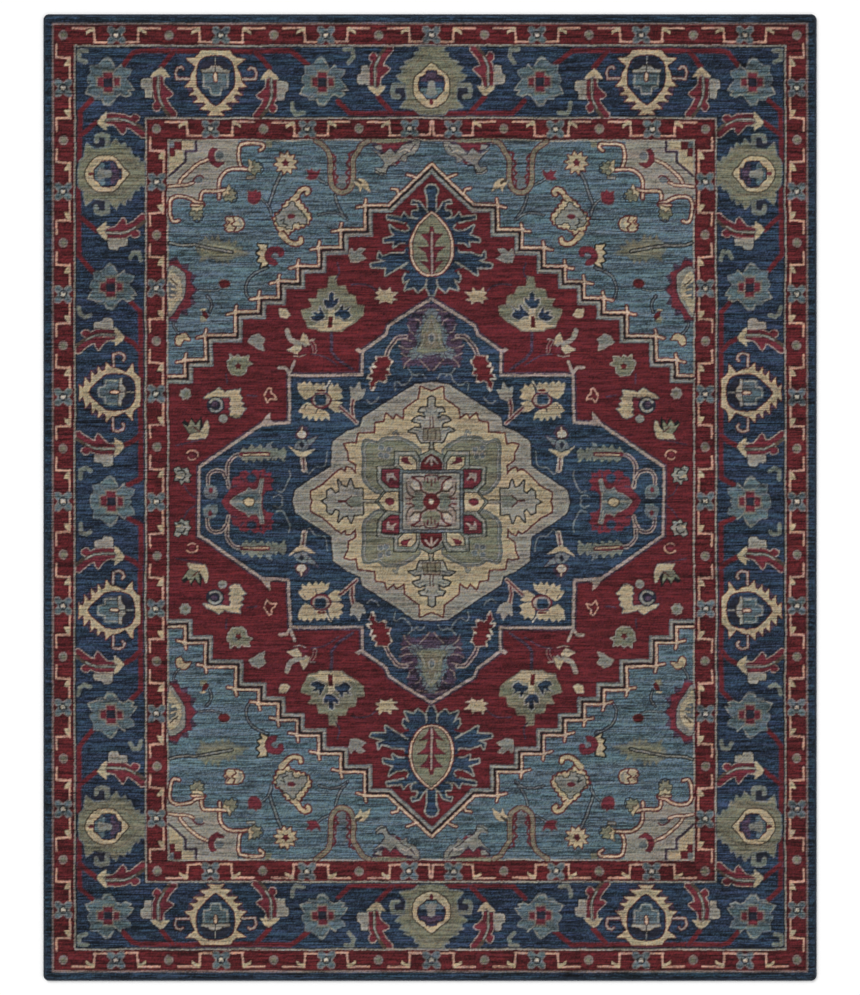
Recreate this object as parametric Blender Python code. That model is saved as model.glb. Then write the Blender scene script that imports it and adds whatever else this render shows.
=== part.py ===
"""A hand-tufted wool area rug of 8 x 10 feet, with a traditional medallion design.

Metres, +Z up. The rug lies on its canvas back at z = 0, centred on the origin, with its length along Y.
From the floor up it has a canvas back, a coat of latex, the cloth that the wool is tufted through,
and the pile. The pile is modelled as one block for each area of the design, as it is tufted. A serged
edge of wool yarn goes round the four sides.
"""

import bpy
import bmesh
from mathutils import Vector
from mathutils.geometry import intersect_line_line_2d

# Driving dimensions
WIDTH = 2.438
CANVAS = 0.0009
LATEX = 0.0012
TUFTING_CLOTH = 0.0007
PILE = 0.0093
SERGING_HEIGHT = 0.0085
GAP = 0.0003

# The design is drawn on a grid of 800 by 1000 tufts, so the rug is 1.25 times as long as it is wide.
# These are numbers of tufts.
TUFT = WIDTH / 800
HALF_ACROSS = 400
HALF_ALONG = 500
SERGING = 2
EDGE_BAND = 10
OUTER_GUARD = 33
MAIN_BORDER = 105
INNER_GUARD = 129
# The maker's design sits a little to the right and low inside its outer guard.
DRIFT = Vector((1.0, -2.5))

# Heights of the layers, each resting on the one below with a hair's gap
LATEX_Z = CANVAS + GAP
CLOTH_Z = LATEX_Z + LATEX + GAP
PILE_Z = CLOTH_Z + TUFTING_CLOTH + GAP
TOP_Z = PILE_Z + PILE

# Outlines inside the inner guard, from the rug's centre line at the top to the left side, in tufts
STEPS = (
    (0, 348), (-44, 305), (-68, 305), (-68, 280), (-93, 280), (-93, 261), (-116, 261), (-116, 242),
    (-138, 242), (-138, 226), (-158, 226), (-158, 209), (-178, 209), (-178, 194), (-202, 194),
    (-202, 170), (-233, 170), (-233, 145), (-254, 145), (-254, 128),
)
MEDALLION = (
    (0, 208), (-44, 180), (-47, 171), (-71, 154), (-71, 129), (-146, 129), (-147, 80), (-175, 78),
    (-240, 34), (-240, 0),
)
CORE = (
    (0, 122), (-17, 120), (-71, 85), (-73, 76), (-87, 70), (-101, 60), (-103, 35), (-140, 11), (-143, 0),
)
SQUARE = 30

QUARTERS = {"back_left": (1, 1), "back_right": (-1, 1), "front_left": (1, -1), "front_right": (-1, -1)}

NAVY = (0.019, 0.036, 0.062)
MIDNIGHT = (0.016, 0.028, 0.050)
MADDER = (0.105, 0.016, 0.017)
STEEL_BLUE = (0.060, 0.110, 0.150)
INK_BLUE = (0.022, 0.044, 0.080)
TAUPE = (0.250, 0.220, 0.185)
CREAM = (0.380, 0.320, 0.230)
COTTON = (0.560, 0.500, 0.390)
RUBBER = (0.620, 0.590, 0.500)


def clear_scene():
    for obj in list(bpy.data.objects):
        bpy.data.objects.remove(obj, do_unlink=True)


def wool(name, colour, roughness=0.95):
    material = bpy.data.materials.new(name)
    material.use_nodes = True
    shader = material.node_tree.nodes["Principled BSDF"]
    shader.inputs["Base Color"].default_value = (*colour, 1.0)
    shader.inputs["Roughness"].default_value = roughness
    shader.inputs["Metallic"].default_value = 0.0
    return material


def inset(points, distance):
    """The closed outline moved inwards by this distance. Its points run anticlockwise."""
    moved = []
    count = len(points)
    for i in range(count):
        before, here, after = points[i - 1], points[i], points[(i + 1) % count]
        side_in = (here - before).normalized()
        side_out = (after - here).normalized()
        push_in = Vector((-side_in.y, side_in.x)) * distance
        push_out = Vector((-side_out.y, side_out.x)) * distance
        crossing = intersect_line_line_2d(
            before + push_in - side_in, here + push_in + side_in,
            here + push_out - side_out, after + push_out + side_out,
        )
        moved.append(crossing or here + push_in)
    return moved


def signed_area(points):
    return sum(a.cross(b) for a, b in zip(points, points[1:] + points[:1])) / 2


def slab(name, outline, bottom, top, colour):
    """A flat solid over an outline in tufts, drawn in by half a gap on every side."""
    points = [Vector(p) * TUFT for p in outline]
    if signed_area(points) < 0:
        points.reverse()
    points = inset(points, GAP / 2)
    mesh = bpy.data.meshes.new(name)
    shape = bmesh.new()
    base = shape.faces.new([shape.verts.new((p.x, p.y, bottom)) for p in points])
    raised = bmesh.ops.extrude_face_region(shape, geom=[base], use_keep_orig=True)
    tops = [v for v in raised["geom"] if isinstance(v, bmesh.types.BMVert)]
    bmesh.ops.translate(shape, verts=tops, vec=(0, 0, top - bottom))
    bmesh.ops.triangulate(shape, faces=[f for f in shape.faces if len(f.verts) > 4])
    bmesh.ops.recalc_face_normals(shape, faces=shape.faces)
    shape.to_mesh(mesh)
    shape.free()
    mesh.materials.append(wool(name + "_material", colour))
    obj = bpy.data.objects.new(name, mesh)
    bpy.context.collection.objects.link(obj)
    return obj


def rectangle(margin, drift=0.0):
    """Corners of the rug's rectangle less this margin, anticlockwise from the front left."""
    across = HALF_ACROSS - margin
    along = HALF_ALONG - margin
    corners = ((-across, -along), (across, -along), (across, along), (-across, along))
    return [Vector(corner) + DRIFT * drift for corner in corners]


def ring_of_strips(name, outer, inner, bottom, top, colour):
    """Four mitred strips between two rectangles."""
    sides = ("front", "right", "back", "left")
    for i, side in enumerate(sides):
        j = (i + 1) % 4
        slab(f"{name}_{side}", (outer[i], outer[j], inner[j], inner[i]), bottom, top, colour)


def backing():
    inside = rectangle(SERGING)
    slab("canvas_back", inside, 0.0, CANVAS, COTTON)
    slab("latex_coat", inside, LATEX_Z, LATEX_Z + LATEX, RUBBER)
    slab("tufting_cloth", inside, CLOTH_Z, CLOTH_Z + TUFTING_CLOTH, COTTON)


def borders():
    edge = rectangle(0)
    serged = rectangle(SERGING)
    band = rectangle(EDGE_BAND)
    outer = rectangle(OUTER_GUARD)
    main = rectangle(MAIN_BORDER, drift=1.0)
    inner = rectangle(INNER_GUARD, drift=1.0)
    ring_of_strips("serging", edge, serged, 0.0, SERGING_HEIGHT, MIDNIGHT)
    ring_of_strips("pile_edge_band", serged, band, PILE_Z, TOP_Z, NAVY)
    ring_of_strips("pile_outer_guard", band, outer, PILE_Z, TOP_Z, MADDER)
    ring_of_strips("pile_main_border", outer, main, PILE_Z, TOP_Z, NAVY)
    ring_of_strips("pile_inner_guard", main, inner, PILE_Z, TOP_Z, MADDER)


def quarter(name, outline, colour):
    """The area in each quarter of the field, mirrored about the design's two centre lines."""
    for place, (across, along) in QUARTERS.items():
        turned = [Vector((x * across, y * along)) + DRIFT for x, y in outline]
        slab(f"{name}_{place}", turned, PILE_Z, TOP_Z, colour)


def field():
    side = -(HALF_ACROSS - INNER_GUARD)
    end = HALF_ALONG - INNER_GUARD
    last_step = (side, STEPS[-1][1])
    quarter("pile_spandrel", ((0, end), *STEPS, last_step, (side, end)), STEEL_BLUE)
    quarter("pile_red_field", (*STEPS, last_step, (side, 0), *reversed(MEDALLION)), MADDER)
    quarter("pile_medallion", (*MEDALLION, *reversed(CORE)), INK_BLUE)
    quarter("pile_core", (*CORE, (-SQUARE, 0), (-SQUARE, SQUARE), (0, SQUARE)), TAUPE)
    corners = ((-SQUARE, -SQUARE), (SQUARE, -SQUARE), (SQUARE, SQUARE), (-SQUARE, SQUARE))
    slab("pile_centre_square", [Vector(c) + DRIFT for c in corners], PILE_Z, TOP_Z, CREAM)


def main():
    clear_scene()
    backing()
    borders()
    field()


main()
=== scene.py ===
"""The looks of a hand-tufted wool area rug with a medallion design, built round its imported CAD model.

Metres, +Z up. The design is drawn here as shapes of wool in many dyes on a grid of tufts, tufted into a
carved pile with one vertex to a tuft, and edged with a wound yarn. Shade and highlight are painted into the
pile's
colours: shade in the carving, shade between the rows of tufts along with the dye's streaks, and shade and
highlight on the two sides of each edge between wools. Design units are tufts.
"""

import bpy
import numpy as np
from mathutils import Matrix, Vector


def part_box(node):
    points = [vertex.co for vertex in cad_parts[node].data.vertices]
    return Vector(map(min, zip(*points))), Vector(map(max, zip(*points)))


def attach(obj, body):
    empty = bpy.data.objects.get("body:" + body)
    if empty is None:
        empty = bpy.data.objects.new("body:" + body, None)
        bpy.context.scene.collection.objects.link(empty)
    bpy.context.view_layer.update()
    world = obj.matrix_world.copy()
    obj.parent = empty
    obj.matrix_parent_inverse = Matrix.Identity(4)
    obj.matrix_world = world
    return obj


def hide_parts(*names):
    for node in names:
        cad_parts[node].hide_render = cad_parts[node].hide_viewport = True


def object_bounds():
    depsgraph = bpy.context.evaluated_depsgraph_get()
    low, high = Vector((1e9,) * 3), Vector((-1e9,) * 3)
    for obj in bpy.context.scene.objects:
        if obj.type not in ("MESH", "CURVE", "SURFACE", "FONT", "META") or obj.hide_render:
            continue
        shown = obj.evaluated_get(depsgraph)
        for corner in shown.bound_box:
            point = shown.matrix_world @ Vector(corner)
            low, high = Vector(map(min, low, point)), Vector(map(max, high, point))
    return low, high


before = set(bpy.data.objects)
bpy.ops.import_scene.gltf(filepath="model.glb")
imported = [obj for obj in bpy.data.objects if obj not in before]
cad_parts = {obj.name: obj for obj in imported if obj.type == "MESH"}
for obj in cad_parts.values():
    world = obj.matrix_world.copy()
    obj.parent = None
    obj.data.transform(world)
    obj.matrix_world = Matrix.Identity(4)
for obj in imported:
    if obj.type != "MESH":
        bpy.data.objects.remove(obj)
cad_box = [list(corner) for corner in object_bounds()]

# The rug's size in tufts, and the size of a tuft from the frame
HALF_ACROSS = 400
HALF_ALONG = 500
TUFT = (cad_box[1][0] - cad_box[0][0]) / (2 * HALF_ACROSS)
PILE_Z, TOP_Z = (corner[2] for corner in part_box("pile_centre_square"))
# The serged edge takes this many tufts all round
SELVEDGE = 2

# The floor's length that the picture takes in, at the height of the pile
SHOWN = 3.134
FLOOR = 80
SKY = 0.62
# Each sun's name, where it stands, its power and its spread in degrees
SUNS = (("key", (-0.55, 0.75, 1.0), 1.5, 35), ("fill", (0.7, -0.3, 1.0), 0.5, 60))


# ---------------------------------------------------------------- drawing the design
# The design is drawn for its back left quarter, on a grid finer than the tufts, and mirrored.
# Design units are tufts from the design's centre: x runs from -400 to 0, y from 0 to 500.

YARNS = {}


def yarn(name, red, green, blue, streak):
    """Names a wool and its dye: its colour as 0 to 255 display values and how strongly it streaks, partly in
    its dye and partly in the painted shade between the rows of tufts.
    """
    YARNS[name] = (len(YARNS), (red, green, blue), streak)


yarn("navy", 30, 41, 56, 0.88)
yarn("midnight", 31, 33, 44, 0.50)
yarn("ink", 34, 47, 62, 0.80)
yarn("steel", 69, 84, 92, 0.60)
yarn("teal", 70, 83, 88, 0.55)
yarn("red", 79, 27, 32, 0.44)
yarn("guard_red", 72, 24, 27, 0.60)
yarn("dark_red", 84, 30, 34, 0.40)
yarn("crimson", 87, 35, 43, 0.45)
yarn("plum", 56, 44, 57, 0.70)
yarn("pink", 152, 134, 116, 0.30)
yarn("rose", 121, 109, 102, 0.35)
yarn("cream", 141, 128, 105, 0.32)
yarn("ecru", 138, 128, 108, 0.38)
yarn("ivory", 146, 138, 126, 0.32)
yarn("taupe", 118, 114, 106, 0.34)
yarn("grey", 106, 105, 99, 0.34)
yarn("slate", 82, 87, 89, 0.46)
yarn("olive", 98, 97, 82, 0.40)
yarn("sage", 90, 93, 85, 0.40)
yarn("black", 24, 26, 28, 0.30)
yarn("umber", 66, 56, 48, 0.40)
yarn("stone", 100, 88, 84, 0.40)
yarn("blush", 148, 116, 101, 0.30)
yarn("pearl", 116, 113, 106, 0.34)
yarn("deep", 25, 37, 49, 0.95)
yarn("khaki", 100, 93, 80, 0.40)


def smooth(points, closed=False, steps=6):
    """A round curve through the points."""
    points = np.asarray(points, float)
    count = len(points)
    if count < 3:
        return points
    if closed:
        before = np.roll(points, 1, 0)
        after = np.roll(points, -1, 0)
        beyond = np.roll(points, -2, 0)
        starts = points
    else:
        padded = np.vstack((2 * points[0] - points[1], points, 2 * points[-1] - points[-2]))
        before, starts, after, beyond = padded[:-3], padded[1:-2], padded[2:-1], padded[3:]
    t = (np.arange(steps) / steps)[None, :, None]
    b, s, a, e = (p[:, None, :] for p in (before, starts, after, beyond))
    curve = 0.5 * (
        2 * s + (a - b) * t + (2 * b - 5 * s + 4 * a - e) * t**2 + (3 * s - b - 3 * a + e) * t**3
    )
    curve = curve.reshape(-1, 2)
    return curve if closed else np.vstack((curve, points[-1]))


def arc(centre, radius, start, end, steps=12):
    """Points along an arc, its angles in degrees. The radius may be a pair, across and along."""
    across, along = radius if isinstance(radius, tuple) else (radius, radius)
    angle = np.radians(np.linspace(start, end, steps))
    return np.column_stack((centre[0] + across * np.cos(angle), centre[1] + along * np.sin(angle)))


def beside(path, distance):
    """The open path moved to its right by this distance, with its corners kept."""
    path = np.asarray(path, float)
    run = np.diff(path, axis=0)
    run /= np.linalg.norm(run, axis=1)[:, None]
    normal = np.column_stack((run[:, 1], -run[:, 0]))
    ahead = np.vstack((normal, normal[-1]))
    behind = np.vstack((normal[0], normal))
    miter = ahead + behind
    miter /= (miter * ahead).sum(1)[:, None]
    return path + distance * miter


def both(half):
    """The path carried on past the centre line, where it ends, to its mirror image."""
    half = np.array(half, float)
    return np.vstack((half, half[-2::-1] * (-1, 1)))


def toothed(path, count, depth, lean=0.0):
    """The path with teeth standing out to its left, leaning along it."""
    path = np.asarray(path, float)
    length = np.concatenate(([0], np.cumsum(np.linalg.norm(np.diff(path, axis=0), axis=1))))
    at = np.linspace(0, length[-1], 2 * count + 1)
    base = np.column_stack([np.interp(at, length, path[:, k]) for k in (0, 1)])
    run = np.gradient(base, axis=0)
    run /= np.linalg.norm(run, axis=1)[:, None]
    left = np.column_stack((-run[:, 1], run[:, 0]))
    out = np.zeros(len(at))
    out[1::2] = depth
    return base + out[:, None] * (left + lean * run)


class Cartoon:
    """The drawn quarter. Each cell holds the number of its yarn."""

    FINE = 3

    def __init__(self, across, along):
        self.across = across
        self.cells = np.zeros((along * self.FINE, across * self.FINE), np.uint8)

    def window(self, points, margin):
        """The cells round these points and their places in design units, or None off the sheet."""
        low = np.floor((points.min(0) - margin + (self.across, 0)) * self.FINE).astype(int)
        high = np.ceil((points.max(0) + margin + (self.across, 0)) * self.FINE).astype(int) + 1
        low = np.maximum(low, 0)
        high = np.minimum(high, self.cells.shape[::-1])
        if (low >= high).any():
            return None
        x = (np.arange(low[0], high[0]) + 0.5) / self.FINE - self.across
        y = (np.arange(low[1], high[1]) + 0.5) / self.FINE
        return self.cells[low[1] : high[1], low[0] : high[0]], *np.meshgrid(x, y)

    def fill(self, name, points):
        """Fills a closed outline."""
        found = self.window(points, 0)
        if found is None:
            return
        cells, x, y = found
        inside = np.zeros(cells.shape, bool)
        for (ax, ay), (bx, by) in zip(points, np.roll(points, -1, 0)):
            if ay != by:
                crossing = (y >= ay) != (y >= by)
                inside ^= crossing & (x < (bx - ax) * (y - ay) / (by - ay) + ax)
        cells[inside] = YARNS[name][0]

    def stroke(self, name, points, width):
        """Draws a line this wide through the points, with round ends and corners."""
        for a, b in zip(points, points[1:]):
            found = self.window(np.array((a, b)), width / 2)
            if found is None:
                continue
            cells, x, y = found
            run = b - a
            along = ((x - a[0]) * run[0] + (y - a[1]) * run[1]) / max(run @ run, 1e-9)
            along = np.clip(along, 0, 1)
            far = np.hypot(x - a[0] - along * run[0], y - a[1] - along * run[1])
            cells[far <= width / 2] = YARNS[name][0]


class Pen:
    """Draws on a cartoon in a motif's own units, placed, turned, sized and flipped."""

    def __init__(self, sheet, x=0.0, y=0.0, turn=0.0, size=1.0, flip=False):
        angle = np.radians(turn)
        across = -size if flip else size
        self.sheet = sheet
        self.place = np.array((x, y), float)
        self.matrix = np.array(
            (
                (across * np.cos(angle), -size * np.sin(angle)),
                (across * np.sin(angle), size * np.cos(angle)),
            )
        )

    def at(self, x=0.0, y=0.0, turn=0.0, size=1.0, flip=False):
        """A pen for a smaller motif inside this one."""
        inner = Pen(self.sheet, 0, 0, turn, size, flip)
        inner.place = self.place + self.matrix @ (x, y)
        inner.matrix = self.matrix @ inner.matrix
        return inner

    def halves(self):
        """This pen and its mirror image."""
        return self, self.at(flip=True)

    def put(self, points):
        """The motif's points as places on the sheet."""
        return np.asarray(points, float) @ self.matrix.T + self.place

    def area(self, name, points, edge=None, width=1.5, curved=False):
        """A filled outline, with a line of another yarn round it if asked."""
        if curved:
            points = smooth(points, closed=True)
        placed = self.put(points)
        if edge:
            self.sheet.stroke(edge, np.vstack((placed, placed[:1])), 2 * width)
        self.sheet.fill(name, placed)

    def line(self, name, points, width=2.0, edge=None, rim=1.5, curved=False):
        """A stroke, with a rim of another yarn along both sides if asked."""
        if curved:
            points = smooth(points)
        placed = self.put(points)
        if edge:
            self.sheet.stroke(edge, placed, width + 2 * rim)
        self.sheet.stroke(name, placed, width)

    def stem(self, points, width, rim=1.1):
        """A thin curved slate stroke with a dark rim."""
        self.line("slate", points, width, "midnight", rim, True)

    def disc(self, name, centre, radius, edge=None, width=1.5):
        """A filled circle or ellipse."""
        self.area(name, arc(centre, radius, 0, 345, 24), edge, width)

    def star(self, name, centre, outer, inner, points, edge=None, width=1.5, start=90.0):
        """A star with this many points, which reach out to one radius and back to the other."""
        angle = np.radians(start + np.arange(2 * points) * 180 / points)
        reach = np.where(np.arange(2 * points) % 2, inner, outer)[:, None]
        self.area(name, centre + reach * np.column_stack((np.cos(angle), np.sin(angle))), edge, width)


# ---------------------------------------------------------------- the steel-blue corner fields
SIDE = -271
END = 371
STEPS = (
    (0, 348), (-44, 305), (-68, 305), (-68, 280), (-93, 280), (-93, 261), (-116, 261), (-116, 242),
    (-138, 242), (-138, 226), (-158, 226), (-158, 209), (-178, 209), (-178, 194), (-202, 194),
    (-202, 170), (-233, 170), (-233, 145), (-254, 145), (-254, 128), (SIDE, 128),
)


def corner_patch(pen):
    """The pale patch in the field's corner, with stepped cream and red inside it."""
    pen.area(
        "taupe",
        ((SIDE, END), (-200, END), (-200, 343), (-212, 341), (-219, 332), (-219, 320), (-238, 319),
         (-239, 308), (-252, 313), (SIDE, 314)),
    )
    pen.area("cream", ((SIDE, END), (-246, END), (-246, 363), (-256.5, 362), (-256.5, 350), (SIDE, 337)))
    pen.line("plum", ((-243, END), (-243, 360.5), (-254, 360.5), (-254, 350), (SIDE, 335)), 2.6)
    pen.area("red", ((SIDE, END), (-258, END), (-258, 362), (-265, 362), (-265, 355), (SIDE, 355)))
    pen.area("slate", ((SIDE, END), (-266, END), (-266, 364), (SIDE, 364)))
    horn = smooth(((-231, 352), (-241, 347.5), (-250, 340), (-258, 332), (-260, 327)))
    pen.line("pink", horn, 2.2, edge="dark_red", rim=1.3)
    pen.line("pink", ((SIDE, 324), (-262, 325.5), (-252, 326), (-246, 328.5)), 2, "dark_red", 1.2, True)
    pen.disc("slate", (-240, 331), (4.5, 3.5))
    pen.line("crimson", ((-247, 329.5), (-243, 334), (-238, 335.5), (-235, 333.5)), 1.8, curved=True)
    crescent = np.vstack((arc((-219, 355), 12, 128, 262, 9), arc((-217, 355.5), 7.5, 250, 118, 7)))
    pen.area("crimson", crescent)
    pen.area("crimson", ((-221, 343), (-214, 347), (-213, 349.5), (-219, 349.5), (-224, 348)))
    pen.disc("slate", (-219, 356), (4.5, 4))


def cloud_band(pen):
    """The pink ribbon that frames the corner patch."""
    ribbon = dict(width=2.1, edge="dark_red", rim=1.6, curved=True)
    pen.area("olive", ((-171, END), (-164.5, END), (-164.5, 365), (-171, 365)))
    for run in (
        ((-177, 361.5), (-173.5, 364.5), (-175, 368), (-183, 368.5), (-192, 368), (-197.5, 366),
         (-199, 360), (-199, 352), (-197, 345), (-194, 342)),
        ((-188, 341), (-196, 342), (-207, 341.5), (-214, 337.5), (-218, 331), (-218.7, 323), (-218.7, 312)),
        ((-210, 321), (-219, 319.5), (-228, 319.5), (-235, 319), (-237.5, 315), (-237.5, 309), (-235, 305.5)),
        ((-236, 307), (-243, 308.5), (-249, 312), (-257, 314), (-265, 313), (-269.5, 308), (-269.5, 297),
         (-267.5, 289.5), (-265, 287.5), (-260.5, 288.5)),
    ):
        pen.line("pink", run, **ribbon)
    pen.line("pink", ((-236, 304.8), (-247, 304.8)), 1.8, "dark_red", 1.6)
    for x, y, turn in ((-186, 343, 0), (-211, 317, -35), (-243, 300, -75)):
        sprig(pen.at(x, y, turn))
    pen.area("grey", ((-190, 334.5), (-182, 334.5), (-182, 332), (-190, 332)), "umber", 0.9)


def sprig(pen):
    """A small ragged olive bud that a ribbon ends in."""
    bud = ((0, 5.5), (4, 7.5), (5.5, 5), (9, 6), (8, 2.5), (12, 1), (9, -1.5), (10, -5), (6, -4), (4, -7.5),
           (1, -6), (-1.5, -2))
    pen.area("olive", bud, "black", 0.9)
    pen.line("midnight", ((8, 7), (12.5, 3), (13, -2), (10, -6)), 1)
    pen.area("cream", ((-3, 9), (1, 6), (0.5, 3), (3, 0.5), (-0.5, -1), (0, -5), (-3.5, -2), (-2, 2)),
             "umber", 0.8)


def star_flower(pen):
    """A cream star with a crimson eye, on a long stem."""
    pen.stem(((-3, -8), (-8, -18), (-13, -31), (-17, -44), (-15, -51)), 2, 1.2)
    pen.star("cream", (0, 0), 12.5, 8, 10, "dark_red", 1.1, 80)
    pen.star("crimson", (0, 0), 4.6, 3, 5)


def berry(pen):
    """A crimson bud with two points at its top."""
    outline = ((0, -7.5), (-5, -6), (-7, -1), (-6, 5), (-7, 7), (-2, 6), (2, 8.5), (3, 6), (6.5, 6), (7, 0),
               (5, -5))
    pen.area("crimson", outline, "slate", 0.8, curved=True)


def spiral_palmette(pen):
    """A lobed cream frame round a grey leaf, with a curl at the top and one at the foot."""
    rimmed = dict(width=3.8, edge="dark_red", rim=1.7, curved=True)
    outline = ((-20, -1), (-17, 4), (-11, 8), (-9, 14), (-3, 19), (4, 22), (9, 16), (15, 8), (20, 1),
               (18, -6), (11, -11), (2, -13), (-4, -18), (-11, -20), (-16, -12), (-19, -6), (-20, -1))
    pen.area("cream", toothed(outline, 21, -1.8), "dark_red", 1.8, curved=True)
    pen.line("cream", ((4, 20), (8, 27), (13, 29.5), (16.5, 27.5), (15, 24.5)), **rimmed)
    pen.line("cream", ((-10, -17), (-4, -25), (2, -27.5), (8, -26), (9, -22.5)), **rimmed)
    pen.line("cream", ((2, 19), (5, 22)), 5)
    pen.line("cream", ((-12, -17), (-7, -22)), 5)
    leaf = ((-15, -6), (-16, 1), (-12, 4), (-10, 8), (-4, 10), (0, 16), (3, 10), (8, 6), (13, 0), (15, -5),
            (11, -7), (5, -4), (0, -6), (-1, -12), (-5, -11), (-7, -8), (-11, -9))
    pen.area("grey", toothed((*leaf, leaf[0]), 19, 1.4), "black", 1.1)
    pen.line("black", ((-12, -3), (-8, -1), (-10, -6), (-5, -8)), 1.3)
    pen.line("pearl", ((-9, 4), (-3, 8), (1, 11)), 1.4)
    pen.disc("crimson", (-1, 1), (4.4, 2.7))


def notched_bud(pen):
    """A round bud, half cream and half grey, with a zigzag between."""
    bud = ((-8, 6.5), (-5, 7), (3, 7.5), (8, 5), (10, 0), (8, -5), (3, -7.5), (-6, -7.5), (-9, -5), (-6, -4),
           (-10, -1), (-6, 1.5), (-8, 3.5))
    pen.area("ecru", bud, "dark_red", 1.6)
    pen.area("cream", ((-8, 6), (-1, 6), (0, 3), (-3, 0), (1, -4), (-2, -7), (-8, -5), (-6, 0)))
    pen.line("dark_red", ((-7, 4.5), (-4.5, 1.5), (-8, -1)), 1.3)
    pen.line("dark_red", ((-1, 6.5), (1, 2.5), (-3, 0), (2, -4), (0, -7)), 1.7)
    pen.line("taupe", ((5, 5), (7, 0), (5, -4)), 2.2, curved=True)


def serrated_leaf(pen):
    """An olive leaf with deep teeth and a dark midrib."""
    leaf = ((-27, 0.6), (-25, 6), (-19, 9), (-17, 13.5), (-14.5, 8), (-12, 9.5), (-10, 13.5), (-8, 8.5),
            (-4, 14.5), (-2.5, 9), (2, 5.5), (7.5, 9), (9, 5), (15, 8), (13.5, 2), (21.5, 2), (20, -2),
            (28.5, -5.5), (21.5, -7.5), (14, -8), (10, -12), (6.5, -9.5), (6.5, -16), (2.5, -11),
            (0.5, -16), (-2.5, -11), (-6, -14.5), (-7.5, -11), (-14, -9.5), (-23, -14), (-21.5, -8),
            (-25, -4.5))
    pen.area("sage", leaf, "slate", 0.7)
    pen.area("olive", ((-22, 2), (-12, 5), (-2, 5), (8, 4), (22, -4), (12, -6), (2, -8), (-12, -7),
                       (-22, -5)))
    for tip in ((-17, 12), (-10, 12), (-4, 13), (7, 8), (14, 7), (6.5, -14), (0.5, -14), (-6, -13),
                (-22, -12)):
        pen.line("olive", (np.array(tip) * (0.8, 0.3) + (1, -1), tip), 1.6)
    pen.line("grey", ((-54, 6), (-46, 3.5), (-38, 3), (-28, 3.5), (-13, 0.8), (10, -3.5)), 1.5, "black", 1.5)


def snail_bud(pen):
    """A crimson curl held in a jagged cream cup."""
    cup = ((-8, 11), (-17, 12), (-14, 7), (-18, 3), (-14, 0), (-17, -5), (-12, -7), (-14, -12), (-7, -8))
    pen.area("cream", cup, "black", 1.9)
    curl = np.vstack((arc((0, 0), 9.5, 75, 290, 12), arc((0, 0), 3.5, 290, 100, 8)))
    pen.area("crimson", curl, "dark_red", 0.6)
    pen.area("crimson", ((0, 9.5), (6, 10), (10, 6), (9.5, 0), (5, -1), (3, 3), (-1, 4)), curved=True)
    pen.area("slate", arc((1, 0), 3, 0, 345, 10))
    pen.stem(((-7, -12), (-17, -16), (-25, -22), (-29, -32), (-28, -40), (-24, -46)), 1.4, 1.3)


def hanging_loop(pen):
    """The taupe loop that hangs from the field's end, its inside ragged with crimson."""
    loop = ((-27, 42), (-20, 37), (-14, 30), (-12, 20), (-12, 5), (-10.5, -4), (-5, -10), (1, -11.5),
            (8, -8), (11, -2), (12, 8), (11.5, 22), (16, 30), (21, 38), (28, 42))
    pen.area("slate", ((-11, 30), (-11, 0), (-4, -8), (4, -8), (10, 0), (10, 22)))
    inside = ((-10, 28), (-9, 12), (-8, 0), (-4, -7), (4, -8), (8, -2), (8.5, 10), (8, 22), (13, 31))
    pen.line("crimson", toothed(inside, 9, 4), 2.2)
    pen.line("crimson", beside(((-10, 28), (-9, 10), (-6, -6), (0, -9), (7, -5), (9, 10), (9, 22)), 0.5), 2)
    pen.area("steel", ((-5, 30), (-5, 8), (3, 8), (3, 22)), curved=True)
    pen.disc("slate", (0, -3), (4.5, 4.5))
    pen.line("khaki", loop, 4.4, "dark_red", 0.9, True)
    pen.line("khaki", loop, 4.4, curved=True)


def tulip(pen):
    """A small crimson flower with three points."""
    pen.area("crimson", ((-8, 5), (-4, 3.5), (-2, 6), (0, 3), (3, 2), (7.5, 6), (6, 0), (3, -5), (-3, -6),
                         (-8, -4.5), (-5, -1)), "slate", 0.8)


def end_leaf(pen):
    """The ragged grey leaf beside the middle of the field's end."""
    pen.area("plum", ((-62, END), (-18, END), (-22, 367), (-35, 360), (-48, 356), (-60, 365)))
    pen.area("crimson", ((-58, END), (-24, END), (-34, 362), (-47, 358)))
    leaf = ((-12, END), (-13, 364), (-18, 357), (-25, 355), (-26, 349), (-32, 352), (-35, 347), (-44, 346),
            (-46, 337), (-52, 336), (-57, 339), (-57, 344), (-50, 343), (-47, 348), (-51, 354), (-60, 362),
            (-51, 357), (-46, 359), (-42, 363), (-37, 357), (-34, 361), (-28, 367), (-20, 368), (-18, END))
    pen.area("grey", leaf, "plum", 0.8)
    pen.area("pearl", ((-13, 369), (-16, 361), (-23, 358), (-29, 354), (-34, 349), (-42, 349), (-45, 354),
                       (-37, 355), (-31, 360), (-25, 366)))
    pen.line("plum", ((-46, 340), (-42, 346), (-35, 350), (-29, 356), (-22, 360), (-17, 367)), 1.1)
    pen.line("crimson", ((-36, 348), (-33, 350)), 2)
    pen.line("black", ((-57, 342), (-52, 338), (-46, 338), (-44, 345), (-37, 345)), 1)
    pen.line("ivory", ((-33, 359), (-27, 362), (-22, 360)), 1.2)
    pen.area("olive", ((-70, 373), (-25, 373), (-25, 370), (-48, 368.5), (-70, 370)))
    pen.area("grey", ((-58, 366), (-51, 367), (-50, 362), (-55, 362)))


def bird_bud(pen):
    """A cream bud like a small bird's head, beak down."""
    pen.area("cream", ((-8, 3), (-5, 1), (-2, 5), (3, 4), (7, 0), (10, -9), (4, -5), (1, -4), (-1, -9),
                       (-3, -3), (-6, 0)), "slate", 0.8)
    pen.line("umber", ((-5, 4), (0, 0.5)), 3)


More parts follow.
